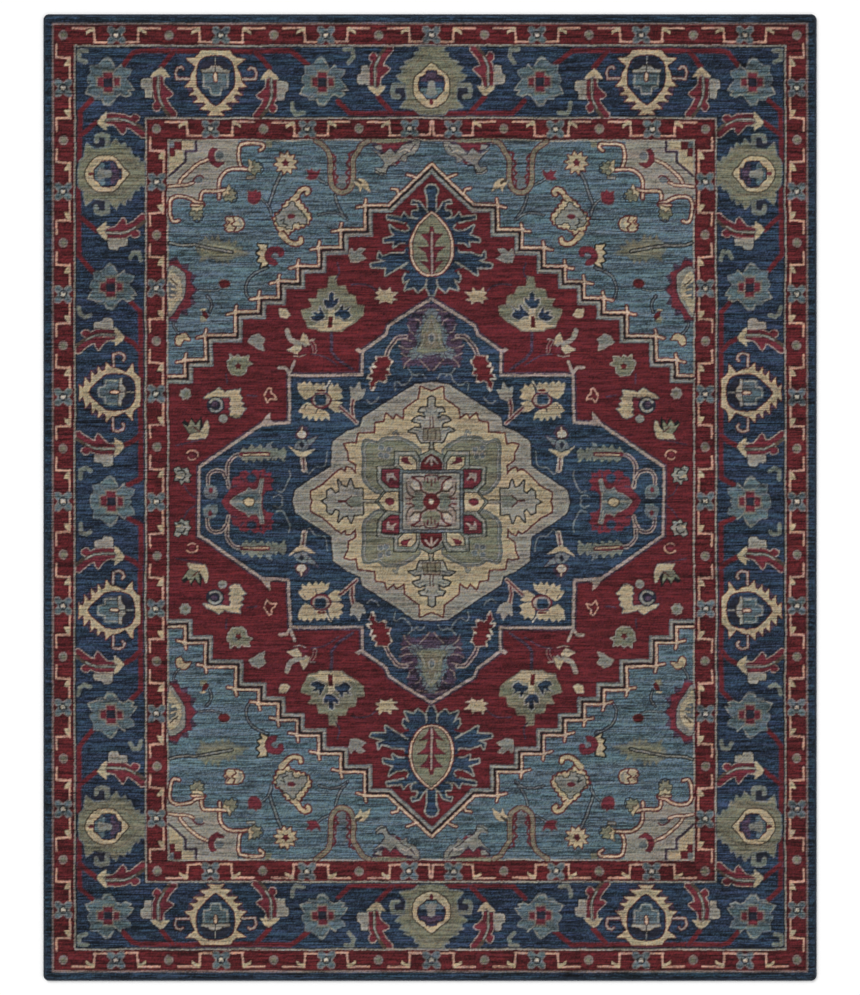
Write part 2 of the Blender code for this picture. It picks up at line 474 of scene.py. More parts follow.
def side_palmette(pen):
    """The half palmette on the field's side edge."""
    for name, crown, count, depth in (
        ("plum", ((SIDE, 248), (-256, 241), (-247, 228), (-247, 207), (-256, 196), (SIDE, 185)), 7, 7),
        ("crimson", ((SIDE, 246), (-256, 239), (-249, 228), (-249, 207), (-257, 197), (SIDE, 187)), 5, 6),
    ):
        pen.area(name, toothed(crown, count, depth))
    pen.area("grey", ((SIDE, 239), (-256, 235), (-254, 225), (-255, 212), (-261, 201), (SIDE, 191)),
             "plum", 0.8, curved=True)
    pen.area("ecru", ((SIDE, 234), (-262, 231), (-258, 222), (-258, 212), (-263, 204), (SIDE, 195)),
             curved=True)
    pen.area("slate", ((SIDE, 226), (-264, 221), (-262, 215), (-265, 209), (SIDE, 208)))
    for y in (218, 212):
        pen.line("cream", ((-268, y), (-258, y - 3)), 1.8)
    pen.line("umber", ((-269, 228), (-262, 222)), 1.6)


def small_buds(pen):
    """The buds, threads and stems between the corner field's flowers."""
    pen.disc("guard_red", (-214, 223.5), (6, 4.6), "slate", 0.8)
    pen.stem(((-217, 218), (-226, 216), (-240, 217)), 1.3, 0.8)
    pen.stem(((-232, 211), (-228, 206), (-227, 200), (-229, 194)), 1.2, 1.3)
    pen.area("olive", ((-239, 190), (-233, 190), (-231, 184), (-238, 183)))
    pen.area("guard_red", ((-237, 196), (-232, 194), (-229, 189), (-232, 186), (-236, 190)))
    pen.line("cream", ((-238, 196.5), (-233, 196.5)), 1.5)
    bean = ((-260, 171), (-254, 172), (-250, 168), (-249, 165.5), (-255, 166), (-259, 160), (-263, 162),
            (-263, 168))
    pen.area("cream", bean, "dark_red", 1.4, curved=True)
    pen.line("midnight", ((-188, 289.7), (-166, 289.7)), 1.5)
    pen.line("slate", ((-117, 332), (-113, 329), (-107, 326)), 1.5, "midnight", 1)
    pen.stem(((-265, 187), (-266, 181), (-263, 175), (-260, 172)), 1.2)
    pen.stem(((-99, 315), (-97, 307), (-93, 299), (-86, 290)), 1.6)
    pen.stem(((-116, 294.5), (-105, 297), (-95, 296), (-88, 291)), 1.4, 1)
    pen.stem(((-175, 311), (-170, 306), (-166, 300), (-165, 294)), 1.6, 0.8)


def stepped_line(pen):
    """The four lines that step down the edge of the red field, with a sprig on each corner."""
    corners = STEPS[2:-1:2]
    spikes = [((-33, 316), (-34.5, 321), (-40, 322)), ((-15, 333), (-20, 335.5), (-25, 337))]
    for x, y in corners:
        spikes.append(((x, y), (x + 1, y + 6)))
        spikes.append(((x - 1, y - 1), (x - 8.5, y - 2.5)))
    for spike in spikes:
        pen.line("dark_red", spike, 4.6)
    pen.line("dark_red", beside(STEPS[::-1], 0.3), 5)
    pen.line("pink", STEPS, 2.2)
    for spike in spikes:
        pen.line("pink", spike, 1.8)
    for corner in corners:
        pen.area("pink", np.array(((-4, -1.5), (0.5, 3.5), (1.5, -2))) + corner)
    for name, shift, width in (("black", 2.8, 2.0), ("grey", 5.2, 2.4), ("slate", 7.0, 1.2)):
        pen.line(name, beside(STEPS[::-1], shift), width)


def corner_field(pen):
    """The steel-blue field beyond the stepped line, with its flowers."""
    pen.area("steel", ((SIDE, END), (0, END), *STEPS))
    corner_patch(pen)
    cloud_band(pen)
    end_leaf(pen)
    hanging_loop(pen.at(-92, 329))
    star_flower(pen.at(-150, 348.5))
    small_buds(pen)
    berry(pen.at(-182.5, 312.5))
    spiral_palmette(pen.at(-143, 292))
    notched_bud(pen.at(-203.5, 285))
    serrated_leaf(pen.at(-216, 260))
    snail_bud(pen.at(-162, 252))
    tulip(pen.at(-121.5, 336.5))
    bird_bud(pen.at(-72, 327))
    side_palmette(pen)


# ---------------------------------------------------------------- the red field
MEDALLION = (
    (0, 208), (-44, 180), (-47, 171), (-71, 154), (-71, 129), (-146, 129), (-147, 80), (-175, 78),
    (-240, 34), (-240, 0),
)


def tree_palmette(pen):
    """The stepped olive palmette with three dark buds, on a stalk."""
    pen.line("plum", ((0, -12), (0, -36), (6, -44), (22, -55)), 3)
    outline = ((-2, 40), (4.5, 41), (5, 30), (14, 30), (17, 22), (24, 20.5), (25.5, 11), (33, 10), (32, 1),
               (24, -6), (14, -12), (11, -15), (2, -15), (-12, -15), (-15, -12.5), (-24, -11.5), (-26, -5),
               (-29, -1), (-31, 6), (-20, 9), (-20, 13), (-23, 17.5), (-15, 17.5), (-13, 27.5), (-3, 28.5))
    pen.area("olive", outline, "khaki", 1)
    pen.area("cream", ((-25, -10), (-18, -9), (-8, -4), (8, -3), (14, -6), (24, -4.5), (14, -11.5),
                       (10, -14.5), (-12, -14.5), (-14, -12)), "pearl", 0.5)
    for bud in (
        ((0, 25), (2.5, 23), (2.5, 16), (4, 17.5), (7, 19), (7, 14), (1, 8.5), (-5, 8.5), (-8, 14), (-8, 18),
         (-4.5, 17.5), (-2.5, 15), (-2.5, 23)),
        ((-6.5, 0), (-9, 5), (-12, 10), (-13, 3), (-16, 5), (-20, 5), (-16.5, 1.5), (-22, -1), (-19.5, -4),
         (-15, -5.5), (-8, -2)),
        ((2, 2), (8, 7), (10, 11), (12, 11.5), (12, 6), (15, 6.5), (20, 9.5), (17, 5), (20.5, 1), (18, -2),
         (13, -4), (8, 0), (3, 0)),
    ):
        pen.area("navy", bud, "pearl", 1.3)
    pen.area("ecru", ((-3.5, 7.5), (3, 7.5), (3, -10), (-3.5, -10)))
    pen.area("guard_red", ((-3, 0), (1.5, 0), (1, -12), (-4, -12)))


def ragged_star(pen):
    """A small cream star with uneven points."""
    points = ((-7, 9.5), (-5, 6), (1, 6), (4, 9), (4.5, 4), (12, 4.5), (7, 0.5), (6, -2), (11, -3), (5.5, -4),
              (5, -7), (0, -4.5), (-4, -5), (-7, -6.5), (-6.5, -3), (-12, -2), (-7, 1), (-11, 4), (-8, 5))
    pen.area("cream", points, "rose", 0.5)


def bird_tulip(pen):
    """A cream flower with three petals, its stem curling up to a pale bud."""
    pen.line("taupe", ((-17, 14), (-14, 6), (-8, 2), (2, 0)), 3.6, "rose", 0.8, True)
    pen.area("cream", ((0, 12), (4, 7), (6, -1), (-1, 3), (-4, 2)), "rose", 0.5)
    pen.area("ecru", ((-17, -6), (-8, -1), (0, -2), (-2, -5), (-6, -10)), "rose", 0.5)
    pen.area("crimson", ((-2, 0), (4, -4), (6, -9), (-6, -10), (-2, -5)))
    pen.line("crimson", ((8, 3), (11, -2), (12, -8)), 3, "rose", 0.5, True)
    pen.line("rose", ((-10, -12), (-4, -13), (2, -11)), 1.2)
    pen.line("rose", ((6, 4), (12, 5)), 1.4)
    pen.line("plum", ((8, -10), (22, -13), (36, -22)), 1.5, curved=True)


def sprays(pen):
    """The small flowers scattered on the red."""
    pen.area("grey", ((-84, 258), (-82, 260), (-80, 256), (-77, 257), (-74, 260), (-68, 259), (-73, 254),
                      (-67, 249.5), (-76, 245), (-83, 245.5), (-84.5, 252)), "rose", 0.5)
    ragged_star(pen.at(-46, 210))
    pen.area("grey", ((-189, 163), (-185, 169), (-178, 171.5), (-171, 166), (-174, 161), (-172, 154),
                      (-178, 156), (-183, 160)), "rose", 0.4)
    flower = ((0, 10.5), (3, 7), (6, 8.5), (11, 9), (9.5, 4), (14, 1.5), (8.5, -0.5), (7.5, -7), (3, -10.5),
              (-6, -9.5), (-10, -4), (-11.5, 3.5), (-8, 5.5), (-8, 11), (-4, 7.5))
    bloom = pen.at(-199, 139)
    bloom.area("olive", flower, "taupe", 1)
    bloom.area("sage", ((-7, 3), (-2, 6), (0, 1), (-5, -4)))
    bloom.star("guard_red", (0, -1), 4, 2.6, 5)
    pen.area("cream", ((-157, 197), (-150, 197), (-146, 191), (-150, 188), (-156, 189)), "rose", 0.5)
    bird_tulip(pen.at(-132, 161))
    tree_palmette(pen.at(-103, 190))
    for thread in (((-97, 245), (-95, 235), (-99, 228)), ((-82, 222), (-74, 223), (-64, 221), (-57, 216))):
        pen.line("plum", thread, 1.6, curved=True)


def side_sprays(pen):
    """The small flowers down the side of the red field."""
    pen.star("grey", (-253.8, 109.8), 6, 4.8, 7, "rose", 0.5)
    pen.disc("olive", (-253, 109), 2.4)
    crest = ((-235, 104.6), (-231.7, 108.5), (-225.6, 111), (-219.5, 115), (-216, 113), (-213.5, 110),
             (-210, 112), (-197, 113.7), (-198.5, 109), (-194.8, 105.5), (-197, 102), (-193.5, 99.4),
             (-196, 96), (-191, 94), (-195, 90), (-198, 85.5), (-202, 84.7), (-208, 87.3), (-206.5, 91.6),
             (-209, 94), (-205.7, 96), (-209, 99), (-206.5, 102), (-208, 107), (-216, 106), (-224, 106))
    pen.area("cream", crest, "slate", 0.9)
    pen.area("crimson", ((-216, 105), (-209, 106), (-208, 98), (-210, 92), (-214, 96)))
    pen.disc("midnight", (-223, 97.7), (9.4, 9))
    pen.line("grey", arc((-223, 97.7), (6.6, 6.4), 150, -140, 12), 2.4)
    pen.disc("plum", (-224, 98.5), (3.2, 3))
    pen.disc("grey", (-215, 84), (4.6, 4.4))
    loop = ((-172, 108), (-170, 112.4), (-167.5, 116), (-164.5, 115), (-165, 110.7), (-161.5, 108),
            (-159.7, 104.2), (-165.8, 105), (-169.3, 101), (-171.4, 105.5))
    pen.line("blush", loop, 1.6)
    pen.area("black", ((-258, 80), (-255, 83), (-250, 79), (-247.5, 86), (-244, 79), (-237.5, 87), (-236, 75),
                       (-245, 66), (-252, 70)))
    pen.area("olive", ((-257, 79), (-252, 76), (-248, 83), (-244, 77), (-239, 83), (-240, 72), (-246, 66),
                       (-251, 70)))
    pen.area("cream", ((-231.7, 82), (-230.4, 76), (-231.7, 68), (-234, 64), (-251.6, 63), (-249, 68),
                       (-240, 70), (-236, 74), (-233.4, 81)), "pearl", 0.6)
    pen.line("dark_red", ((-246, 76), (-242, 72), (-239, 70.5)), 1.3)
    drop = pen.at(-247.5, 46.5)
    drop.line("blush", arc((0, 0), (6, 5), 150, -20, 9), 1.5)
    drop.line("blush", arc((0, 0), (5, 5), 215, 310, 5), 1.2)
    drop.disc("crimson", (0, 0), (3.4, 2.4))
    knot = pen.at(-256.8, 25.7)
    knot.area("grey", ((-9, 7), (-4, 9), (-1, 6), (5, 7.5), (6, 3), (9, 0), (6, -3), (7, -7), (2, -6),
                       (-1, -9), (-3, -5), (-8, -5), (-6, 0)), "black", 1)
    knot.line("black", ((-5, 4), (0, 5), (3, 1), (1, -4), (-4, -4)), 1.5, curved=True)
    knot.line("pearl", ((-7, 6), (-3, 6.5)), 1.6)
    knot.line("pearl", ((2, -1), (6, 0)), 1.6)
    knot.line("cream", ((-6, -1), (-2, -2)), 2)
    for thread in (((-255, 16), (-250, 8), (-242, 3)), ((-264, 57), (-250, 60), (-236, 63))):
        pen.line("plum", thread, 1.4, curved=True)
    for thread in (((-212, 130), (-211, 120)), ((-190, 108), (-180, 107))):
        pen.line("plum", thread, 1.6)


def pendant(pen):
    """The olive oval hung in dark leaves at the end of the red field."""
    tip = ((0, 326), (-4, 325), (-6, 320), (-4, 312), (-4, 296), (0, 290), (4, 296), (4, 312), (6, 320),
           (4, 325))
    for leaf in (
        smooth(tip, closed=True),
        ((-4, 297), (-9, 302), (-12, 308), (-19, 310), (-20, 307), (-15, 307), (-13, 302), (-14, 299),
         (-19, 299), (-20, 295), (-16, 291), (-10, 286)),
        ((-14, 290), (-24, 292), (-28, 297), (-30, 292), (-45, 294), (-45, 291), (-34, 289), (-25, 286),
         (-20, 280)),
        ((-20, 280), (-27, 277), (-36, 279), (-43, 284), (-41, 278), (-38, 274), (-49, 270), (-49, 267),
         (-38, 268), (-39, 262), (-33, 266), (-23, 266)),
        ((-22, 262), (-28, 255), (-40, 255), (-51, 251), (-54, 256), (-55, 250), (-47, 247), (-62, 243),
         (-61, 240), (-46, 240), (-47, 232), (-38, 238), (-30, 243), (-22, 248)),
        ((-20, 248), (-30, 240), (-25, 236), (-29, 230), (-28, 225), (-22, 229), (-27, 217), (-18, 220),
         (-14, 215), (-8, 220), (-4, 228), (-6, 236)),
        ((-4, 232), (-5, 220), (-2, 212), (2, 212), (5, 220), (4, 232)),
    ):
        pen.area("ink", leaf, "grey", 1.6)
    pen.area("ink", arc((0, 262), (27, 34), 90, 270, 20))
    for vein in (((-26, 286), (-32, 280)), ((-24, 263), (-34, 262)), ((-24, 236), (-30, 238))):
        pen.line("guard_red", vein, 2.4)
    drop = both(smooth(((0, 299), (-8, 292), (-16, 282), (-21, 269), (-21, 252), (-16, 240), (-8, 232.5),
                        (0, 231))))
    for name, *scale in (("dark_red", 1.08, 1.03), ("pink", 1.02, 0.99), ("dark_red", 0.93, 0.94),
                         ("olive", 0.88, 0.91)):
        pen.area(name, (drop - (0, 262)) * scale + (0, 262))
    pen.area("crimson", both(((-2, 283), (-3, 276), (-12, 275), (-5, 268), (-3, 262), (-15, 262), (-6, 255),
                              (-4, 246), (-13, 248), (-5, 240), (-2, 234), (0, 234))))
    pen.line("rose", ((0, 277), (0, 235)), 1.8)


def red_field(pen):
    """The red round the medallion, with its flowers, its pendant and the line that it steps along."""
    pen.area("red", (*STEPS, (SIDE, 0), *reversed(MEDALLION)))
    sprays(pen)
    side_sprays(pen)
    pendant(pen)
    stepped_line(pen)


# ---------------------------------------------------------------- the dark-blue medallion
CORE = (
    (0, 122), (-17, 120), (-71, 85), (-73, 76), (-87, 70), (-101, 60), (-103, 35), (-140, 11), (-143, 0),
)


def medallion_line(pen):
    """The pale line round the medallion, with its pointed corners."""
    closed = np.vstack((MEDALLION, ((-240, -10),)))
    pen.line("plum", beside(closed, 0.8), 5)
    pen.line("rose", closed, 2.9)
    pen.area("rose", ((-79, 155), (-75, 157.5), (-69, 153), (-74, 152)))
    pen.area("rose", ((-177, 77), (-171, 86), (-166, 91), (-166, 82), (-161, 80)))
    pen.line("rose", ((-157, 137), (-150, 137), (-146, 131)), 3)
    pen.line("rose", ((-145, 133), (-141, 143)), 3)


def crown_flower(pen):
    """The soft green and blue palmette at the medallion's end, on its centre line, with plum round it."""
    bloom = ((0, 202), (-10, 199), (-20, 191), (-24, 183), (-19, 175), (-26, 168), (-31, 160), (-29, 151),
             (-29, 142), (-24, 137), (-18, 142), (-9, 140), (0, 134))
    pen.area("plum", np.vstack((toothed(bloom, 19, -3.2), ((0, 134), (0, 202)))))
    for run in (
        ((-34, 166), (-28, 167), (-20, 165)),
        ((-33, 160), (-26, 157), (-18, 157)),
        ((-31, 152), (-26, 149), (-20, 150)),
        ((-28, 137), (-26, 142), (-20, 147)),
        ((-24, 181), (-22, 175), (-18, 172)),
        ((-16, 187), (-12, 185), (-10, 178)),
        ((-15, 195), (-9, 196), (-3, 197)),
        ((-12, 145), (-8, 141), (-2, 134)),
    ):
        pen.line("stone", run, 1.3, curved=True)
    pen.line("midnight", ((-19, 189), (-17, 192), (-13, 189)), 2.4)
    pen.line("midnight", ((-13, 183), (-15, 180), (-12, 178)), 2.2)
    petals = ((0, 197), (-4, 194), (-8, 188), (-7, 181), (-11, 177), (-15, 171), (-13, 165), (-12, 159),
              (-17, 156), (-23, 151), (-18, 147), (-12, 149), (0, 151))
    pen.area("slate", np.vstack((toothed(petals, 19, -1.9), ((0, 151), (0, 197)))), "teal", 0.6)
    pen.line("teal", ((-13, 174), (-13, 165), (-11, 159)), 2.2, curved=True)
    for dark in (
        ((-7, 193), (-5, 187)), ((-15, 172), (-10, 175)), ((-18, 165), (-14, 166)), ((-14, 158), (-11, 163)),
        ((-22, 151), (-17, 152)), ((-16, 146), (-13, 151)), ((-8, 145), (-6, 150)),
    ):
        pen.line("plum", dark, 1.1)
    pen.area("olive", ((0, 192), (-5, 186), (-9, 178), (-10, 168), (-11, 161), (-16, 154), (-8, 152),
                       (0, 153)))
    pen.area("khaki", ((0, 188), (-3, 182), (-6, 172), (-6, 164), (-9, 157), (-3, 155), (0, 156)))
    pen.line("pearl", ((0, 187), (-3, 180), (-4, 175)), 1.1)
    pen.line("pearl", ((-7, 172), (-8, 164), (-12, 156)), 1.1)
    pen.line("grey", ((-2, 187), (-4, 183), (-7, 175)), 1.5)
    pen.area("pearl", arc((0, 167), (3.8, 6), 0, 345, 18))
    pen.area("slate", arc((0, 167), (2.3, 4), 0, 345, 18))
    pen.line("plum", ((-9, 150), (0, 149)), 1.6)


def hop_bud(pen):
    """A crimson bud with serrated sides hanging from a curved pink stalk."""
    stalk = ((-47, 148), (-44, 156), (-39, 163), (-34, 168.5), (-26, 169))
    pen.line("plum", stalk, 2, "rose", 1.4, True)
    body = ((-45, 149), (-51, 148), (-57, 148), (-55, 144), (-60, 141), (-57, 138), (-63, 136.5),
            (-60, 132), (-66, 125.5), (-60, 125), (-63, 121), (-61, 113), (-58, 116), (-58, 121),
            (-54, 124), (-48, 121.5), (-46, 122.5), (-47, 130), (-42, 129.5), (-44, 134), (-43, 139),
            (-40, 143.5), (-43, 145))
    pen.area("dark_red", body, "rose", 1)
    for tip in (
        ((-57, 148), (-56.5, 146)), ((-60, 141), (-60, 138), (-57, 138)), ((-62.5, 136), (-60.5, 131.5)),
        ((-64, 129), (-66, 125.5), (-61, 125)), ((-40.5, 143.5), (-41, 142)), ((-45, 135), (-43.5, 135)),
        ((-47, 123), (-49, 122)), ((-60, 113), (-59, 116)),
    ):
        pen.line("ivory", tip, 1.7)


def cross_flower(pen):
    """The big cream flower with frayed petals round a blue eye."""
    for petal in (
        ((-23, 19), (-20, 17.5), (-17, 20.5), (-14, 17.5), (-11, 20.5), (-8, 17.5), (-7, 14), (-7, 7),
         (-11, 5), (-16, 2.5), (-22, 9), (-23, 14)),
        ((-7, 16), (-4, 19.5), (0, 17), (3, 19), (6, 15), (5, 10), (-6, 10)),
        ((8, 8), (8.5, 14), (11.5, 18.5), (14, 15), (18, 18), (18.5, 14), (22.5, 12), (20, 8.5), (23, 4),
         (19, 2), (12, 1)),
        ((10, -1), (16, 0), (22, -2), (18, -5), (20, -11), (15, -11), (12, -9), (8, -6)),
        ((-23, -10), (-19, -4), (-14, -1), (-10, -3), (-4, -7), (4, -10), (8, -13), (9, -19), (5, -16),
         (1, -20), (-2, -16), (-5, -20), (-8, -15), (-12, -19), (-14, -14), (-19, -17), (-18, -12)),
    ):
        pen.area("cream", petal, "taupe", 0.5)
    pen.line("navy", ((-3, -6), (-5, -12)), 1)
    pen.line("navy", ((-15, -3), (-18, -7)), 1)
    pen.line("ivory", ((4, 14), (7, 16), (10, 21)), 1.6)
    pen.area("crimson", arc((0.5, 1), (11, 8.6), 0, 345, 24))
    pen.area("rose", arc((0.5, 1.4), (9, 6.6), 0, 345, 24))
    pen.area("ink", ((-6.5, 3), (-5, 7), (4, 7), (5.5, 3), (4.5, -2.5), (-5, -2.5)), "slate", 0.7)
    pen.line("dark_red", ((-3, 11.5), (4, 11.5)), 2)


def stalk_tulip(pen):
    """A pale tulip on a pink stalk that forks at its foot."""
    pen.line("crimson", ((-80.5, 104), (-82, 95), (-81, 85)), 2, "rose", 1.4)
    pen.line("crimson", ((-94, 95), (-86, 88), (-77, 79.5)), 1.8, "rose", 1.3)
    pen.area("taupe", ((-83, 116), (-80, 114), (-77, 116), (-74, 121), (-72, 113), (-68, 113.5), (-71, 106),
                       (-78, 103), (-82, 107)), "pearl", 0.9)


def goblet_flower(pen):
    """A cream goblet with a pale round bud above it."""
    pen.line("rose", ((-133, 44), (-131, 31)), 4.4, "ivory", 0.6)
    pen.line("dark_red", ((-132.5, 45), (-131.5, 32)), 1.3)
    pen.area("cream", ((-147, 55), (-139, 47), (-134, 44), (-129, 46), (-120, 53), (-128, 51), (-133, 49),
                       (-140, 51)), "taupe", 0.5)
    pen.area("slate", ((-139, 60), (-142, 54), (-133, 50), (-128, 53), (-126, 60), (-133, 63)))
    pen.area("midnight", ((-137, 58), (-134, 61), (-131, 57), (-134, 53)))
    pen.area("slate", ((-128, 62), (-117, 66), (-121, 61), (-126, 56)), "plum", 0.9)
    pen.area("plum", ((-142, 66), (-139, 73), (-134, 78), (-128, 75), (-125, 69), (-130, 63), (-139, 63)))
    pen.area("ivory", arc((-134, 68), (5, 4), 0, 330, 12), "guard_red", 1)
    pen.line("pink", ((-134, 69), (-133.5, 75)), 1.6)
    pen.line("slate", ((-130, 30), (-126, 27), (-124, 29), (-119, 34), (-114, 34), (-109, 37), (-107, 50)),
             1.2, curved=True)


def caterpillar_leaf(pen):
    """The soft olive leaf along the medallion's side, with a red midrib."""
    top = toothed(((-198, 49), (-186, 53), (-172, 53), (-162, 50), (-150, 50)), 6, 4.5, 0.3)
    foot = toothed(((-150, 44), (-166, 44), (-180, 42), (-196, 42)), 6, 3.5, -0.3)
    pen.area("sage", np.vstack((top, foot)))
    pen.area("slate", ((-166, 56), (-164, 60), (-170, 58), (-172, 52), (-160, 50)))
    pen.line("crimson", ((-196, 47), (-169, 47.5)), 4.6)
    pen.line("cream", ((-194, 46.4), (-169, 47)), 1.3)
    pen.line("sage", ((-164, 42), (-156, 46), (-152, 40)), 2.4)


def arched_stem(pen):
    """The double pink stem that arches beside the side palmette."""
    for run in (
        ((-197, 46.5), (-203, 45.5), (-208, 41), (-211, 35), (-211, 28), (-210.5, 20), (-209.5, 14)),
        ((-211.5, 22), (-215, 28), (-221, 30.5), (-227, 29), (-230.5, 24), (-231, 16)),
    ):
        pen.line("plum", run, 1.6, "rose", 1.3, True)
    pen.area("slate", ((-234, 13), (-228, 16), (-223, 14), (-221, 9), (-222, 3), (-230, 3), (-235, 7)),
             "teal", 0.6)
    pen.disc("crimson", (-228, 11), (2.2, 2.6))


def side_flower(pen):
    """The crimson palmette with a blue three-pointed heart, on the medallion's long centre line."""
    burst = ((-217, -6), (-217, 0), (-214, 5), (-210, 9), (-207, 15), (-205, 23), (-199, 24.5), (-198, 29),
             (-192, 30), (-187, 27), (-184, 31), (-178, 30), (-173, 32), (-171, 28), (-165, 28.5), (-166, 23),
             (-162, 20), (-166, 16), (-163, 11), (-170, 10), (-174, 6), (-174, -6))
    pen.area("crimson", burst)
    pen.area("ink", arc((-186, 22.5), (4.6, 3.8), 0, 330, 12), "plum", 1)
    for hollow in (
        ((-206, 14), (-201, 15)), ((-172, 25), (-168, 24)),
        ((-197, 23), (-194, 20)), ((-176, 28), (-177, 24)),
    ):
        pen.line("plum", hollow, 1.8)
    heart = ((-207, 0), (-203, 4), (-197, 7.5), (-192, 9), (-189, 13), (-186, 11), (-180, 11), (-177.5, 15),
             (-176.5, 21), (-173.5, 20.5), (-175, 13), (-176.5, 7), (-176.5, 0))
    for side in (1, -1):
        pen.area("slate", np.array(heart) * (1, side), "grey", 1)
        pen.area("teal", ((-203, 0), (-195, 5 * side), (-189, 8 * side), (-180, 7 * side), (-179, 0)))
    pen.line("pearl", ((-178, 9), (-175.5, 19)), 1.5)
    pen.area("cream", ((-194, 1), (-190, 3.8), (-185, 2.8), (-183, 0), (-186, -3), (-192, -2.8)),
             "umber", 1.3)


def squiggles(pen):
    """The thin pale threads along the inside of the medallion."""
    for run in (
        ((-37, 113), (-38, 120), (-35, 122), (-31, 119), (-26, 120), (-21, 126), (-19, 131), (-14, 128)),
        ((-66, 103), (-62, 100), (-57, 102), (-54, 106)),
        ((-160, 10), (-154, 9), (-150, 15), (-146, 24), (-147, 30)),
        ((-163, 4), (-158, 6), (-154, 3), (-156, -2)),
        ((-24, 136), (-18, 130), (-10, 131), (-6, 126)),
    ):
        pen.line("slate", run, 1.5, curved=True)


def core(pen):
    """The pale lobed heart of the medallion, down to its square."""
    pen.area("midnight", np.array((*CORE, (0, -10))) * 1.012)
    pen.area("taupe", (*CORE, (-143, -20), (0, -20)))
    ring = ((0, 112), (-11, 117), (-12, 105), (-27, 94), (-28, 83), (-36, 88), (-39, 83), (-46, 89),
            (-48, 81), (-57, 79.5), (-58, 69.5), (-75, 68), (-77, 57), (-83, 58), (-89, 57), (-85, 49),
            (-84.5, 41), (-77, 36.5), (-77.5, 26), (-83, 32), (-87, 33), (-88, 28), (-93, 31), (-98, 28),
            (-112, 15), (-124, 9), (-124, 4), (-121, -4), (-113, -10), (0, -12))
    pen.area("cream", ring, "dark_red", 1.8)
    green_lobe(pen)
    end_plant(pen)
    side_plant(pen)
    centre_cross(pen)
    centre_square(pen)


def green_lobe(pen):
    """The olive lobe on the diagonal, with a knot of pale blue."""
    lobe = ((-12, 48), (-16, 56), (-24, 61), (-32, 64.5), (-48, 64.5), (-56, 60), (-68, 62), (-71, 52),
            (-70, 40), (-70, 22), (-64, 14), (-56, 9), (-48, 10), (-32, 30))
    pen.area("olive", lobe, "slate", 1.5, curved=True)
    pen.line("pearl", (np.array(lobe) * 0.95 + (-1.7, 1.3))[1:13], 1.1, "slate", 0.6, True)
    pen.line("pearl", ((-39, 69), (-36, 72), (-34, 66)), 1.2, "slate", 0.8)
    for x, y in ((-52, 54), (-52, 46), (-44, 52), (-46, 45)):
        pen.area("slate", arc((x, y), 2.8, 0, 315, 8), "pearl", 1)


def end_plant(pen):
    """The grey stepped plant above the square, outlined in black."""
    half = ((0, 107), (-3, 105), (-3, 96), (-11, 95.5), (-13, 92), (-7, 91), (-6, 84), (-12, 87), (-17, 85),
            (-19, 82), (-11, 80), (-10, 74), (-17, 75), (-23, 71.5), (-15, 70), (-13, 64), (-11, 60), (0, 60))
    pen.area("pearl", half, "black", 1.7)
    pen.area("khaki", ((0, 74), (-8, 74), (-9, 62), (0, 62)), "umber", 0.7)
    for run in (((-9, 89), (-6, 87)), ((-14, 84), (-8, 82)), ((-18, 73), (-11, 71)), ((-6, 94), (-4, 91))):
        pen.line("slate", run, 1.2)
    pen.line("guard_red", ((-8, 74.5), (1, 74.5)), 1.3)
    pen.line("guard_red", ((-1.5, 86), (-1.5, 75)), 1.3)
    pen.line("umber", ((-4, 72), (-4, 63)), 1.2)
    pen.line("black", ((-1.5, 60), (-2.5, 52)), 1.6)
    pen.line("grey", ((0, 60), (0, 52)), 1.6)


def side_plant(pen):
    """The grey leafy plant beside the square."""
    plant = ((-71, -6), (-71, 12), (-80, 12), (-83, 21), (-86, 13), (-91, 14), (-96, 20), (-94, 9),
             (-99, 7), (-103, 12), (-107, 10), (-107, 3), (-114, -1), (-107, -6), (-92, -6))
    pen.area("pearl", plant, "black", 1.6)
    pen.area("sage", ((-72, -5), (-72, 5), (-84, 5), (-89, 1), (-96, 0), (-86, -4)))
    pen.line("guard_red", ((-82, 5.5), (-86, 3), (-88, 0.5), (-96, 0.5)), 1.2)
    pen.line("guard_red", ((-72, -4), (-82, -3)), 1.4)
    pen.line("black", ((-71, 1.5), (-57, 1.5)), 1.2)
    pen.line("black", ((-71, -2), (-57, -2)), 1.2)
    pen.line("grey", ((-71, -0.2), (-57, -0.2)), 2)


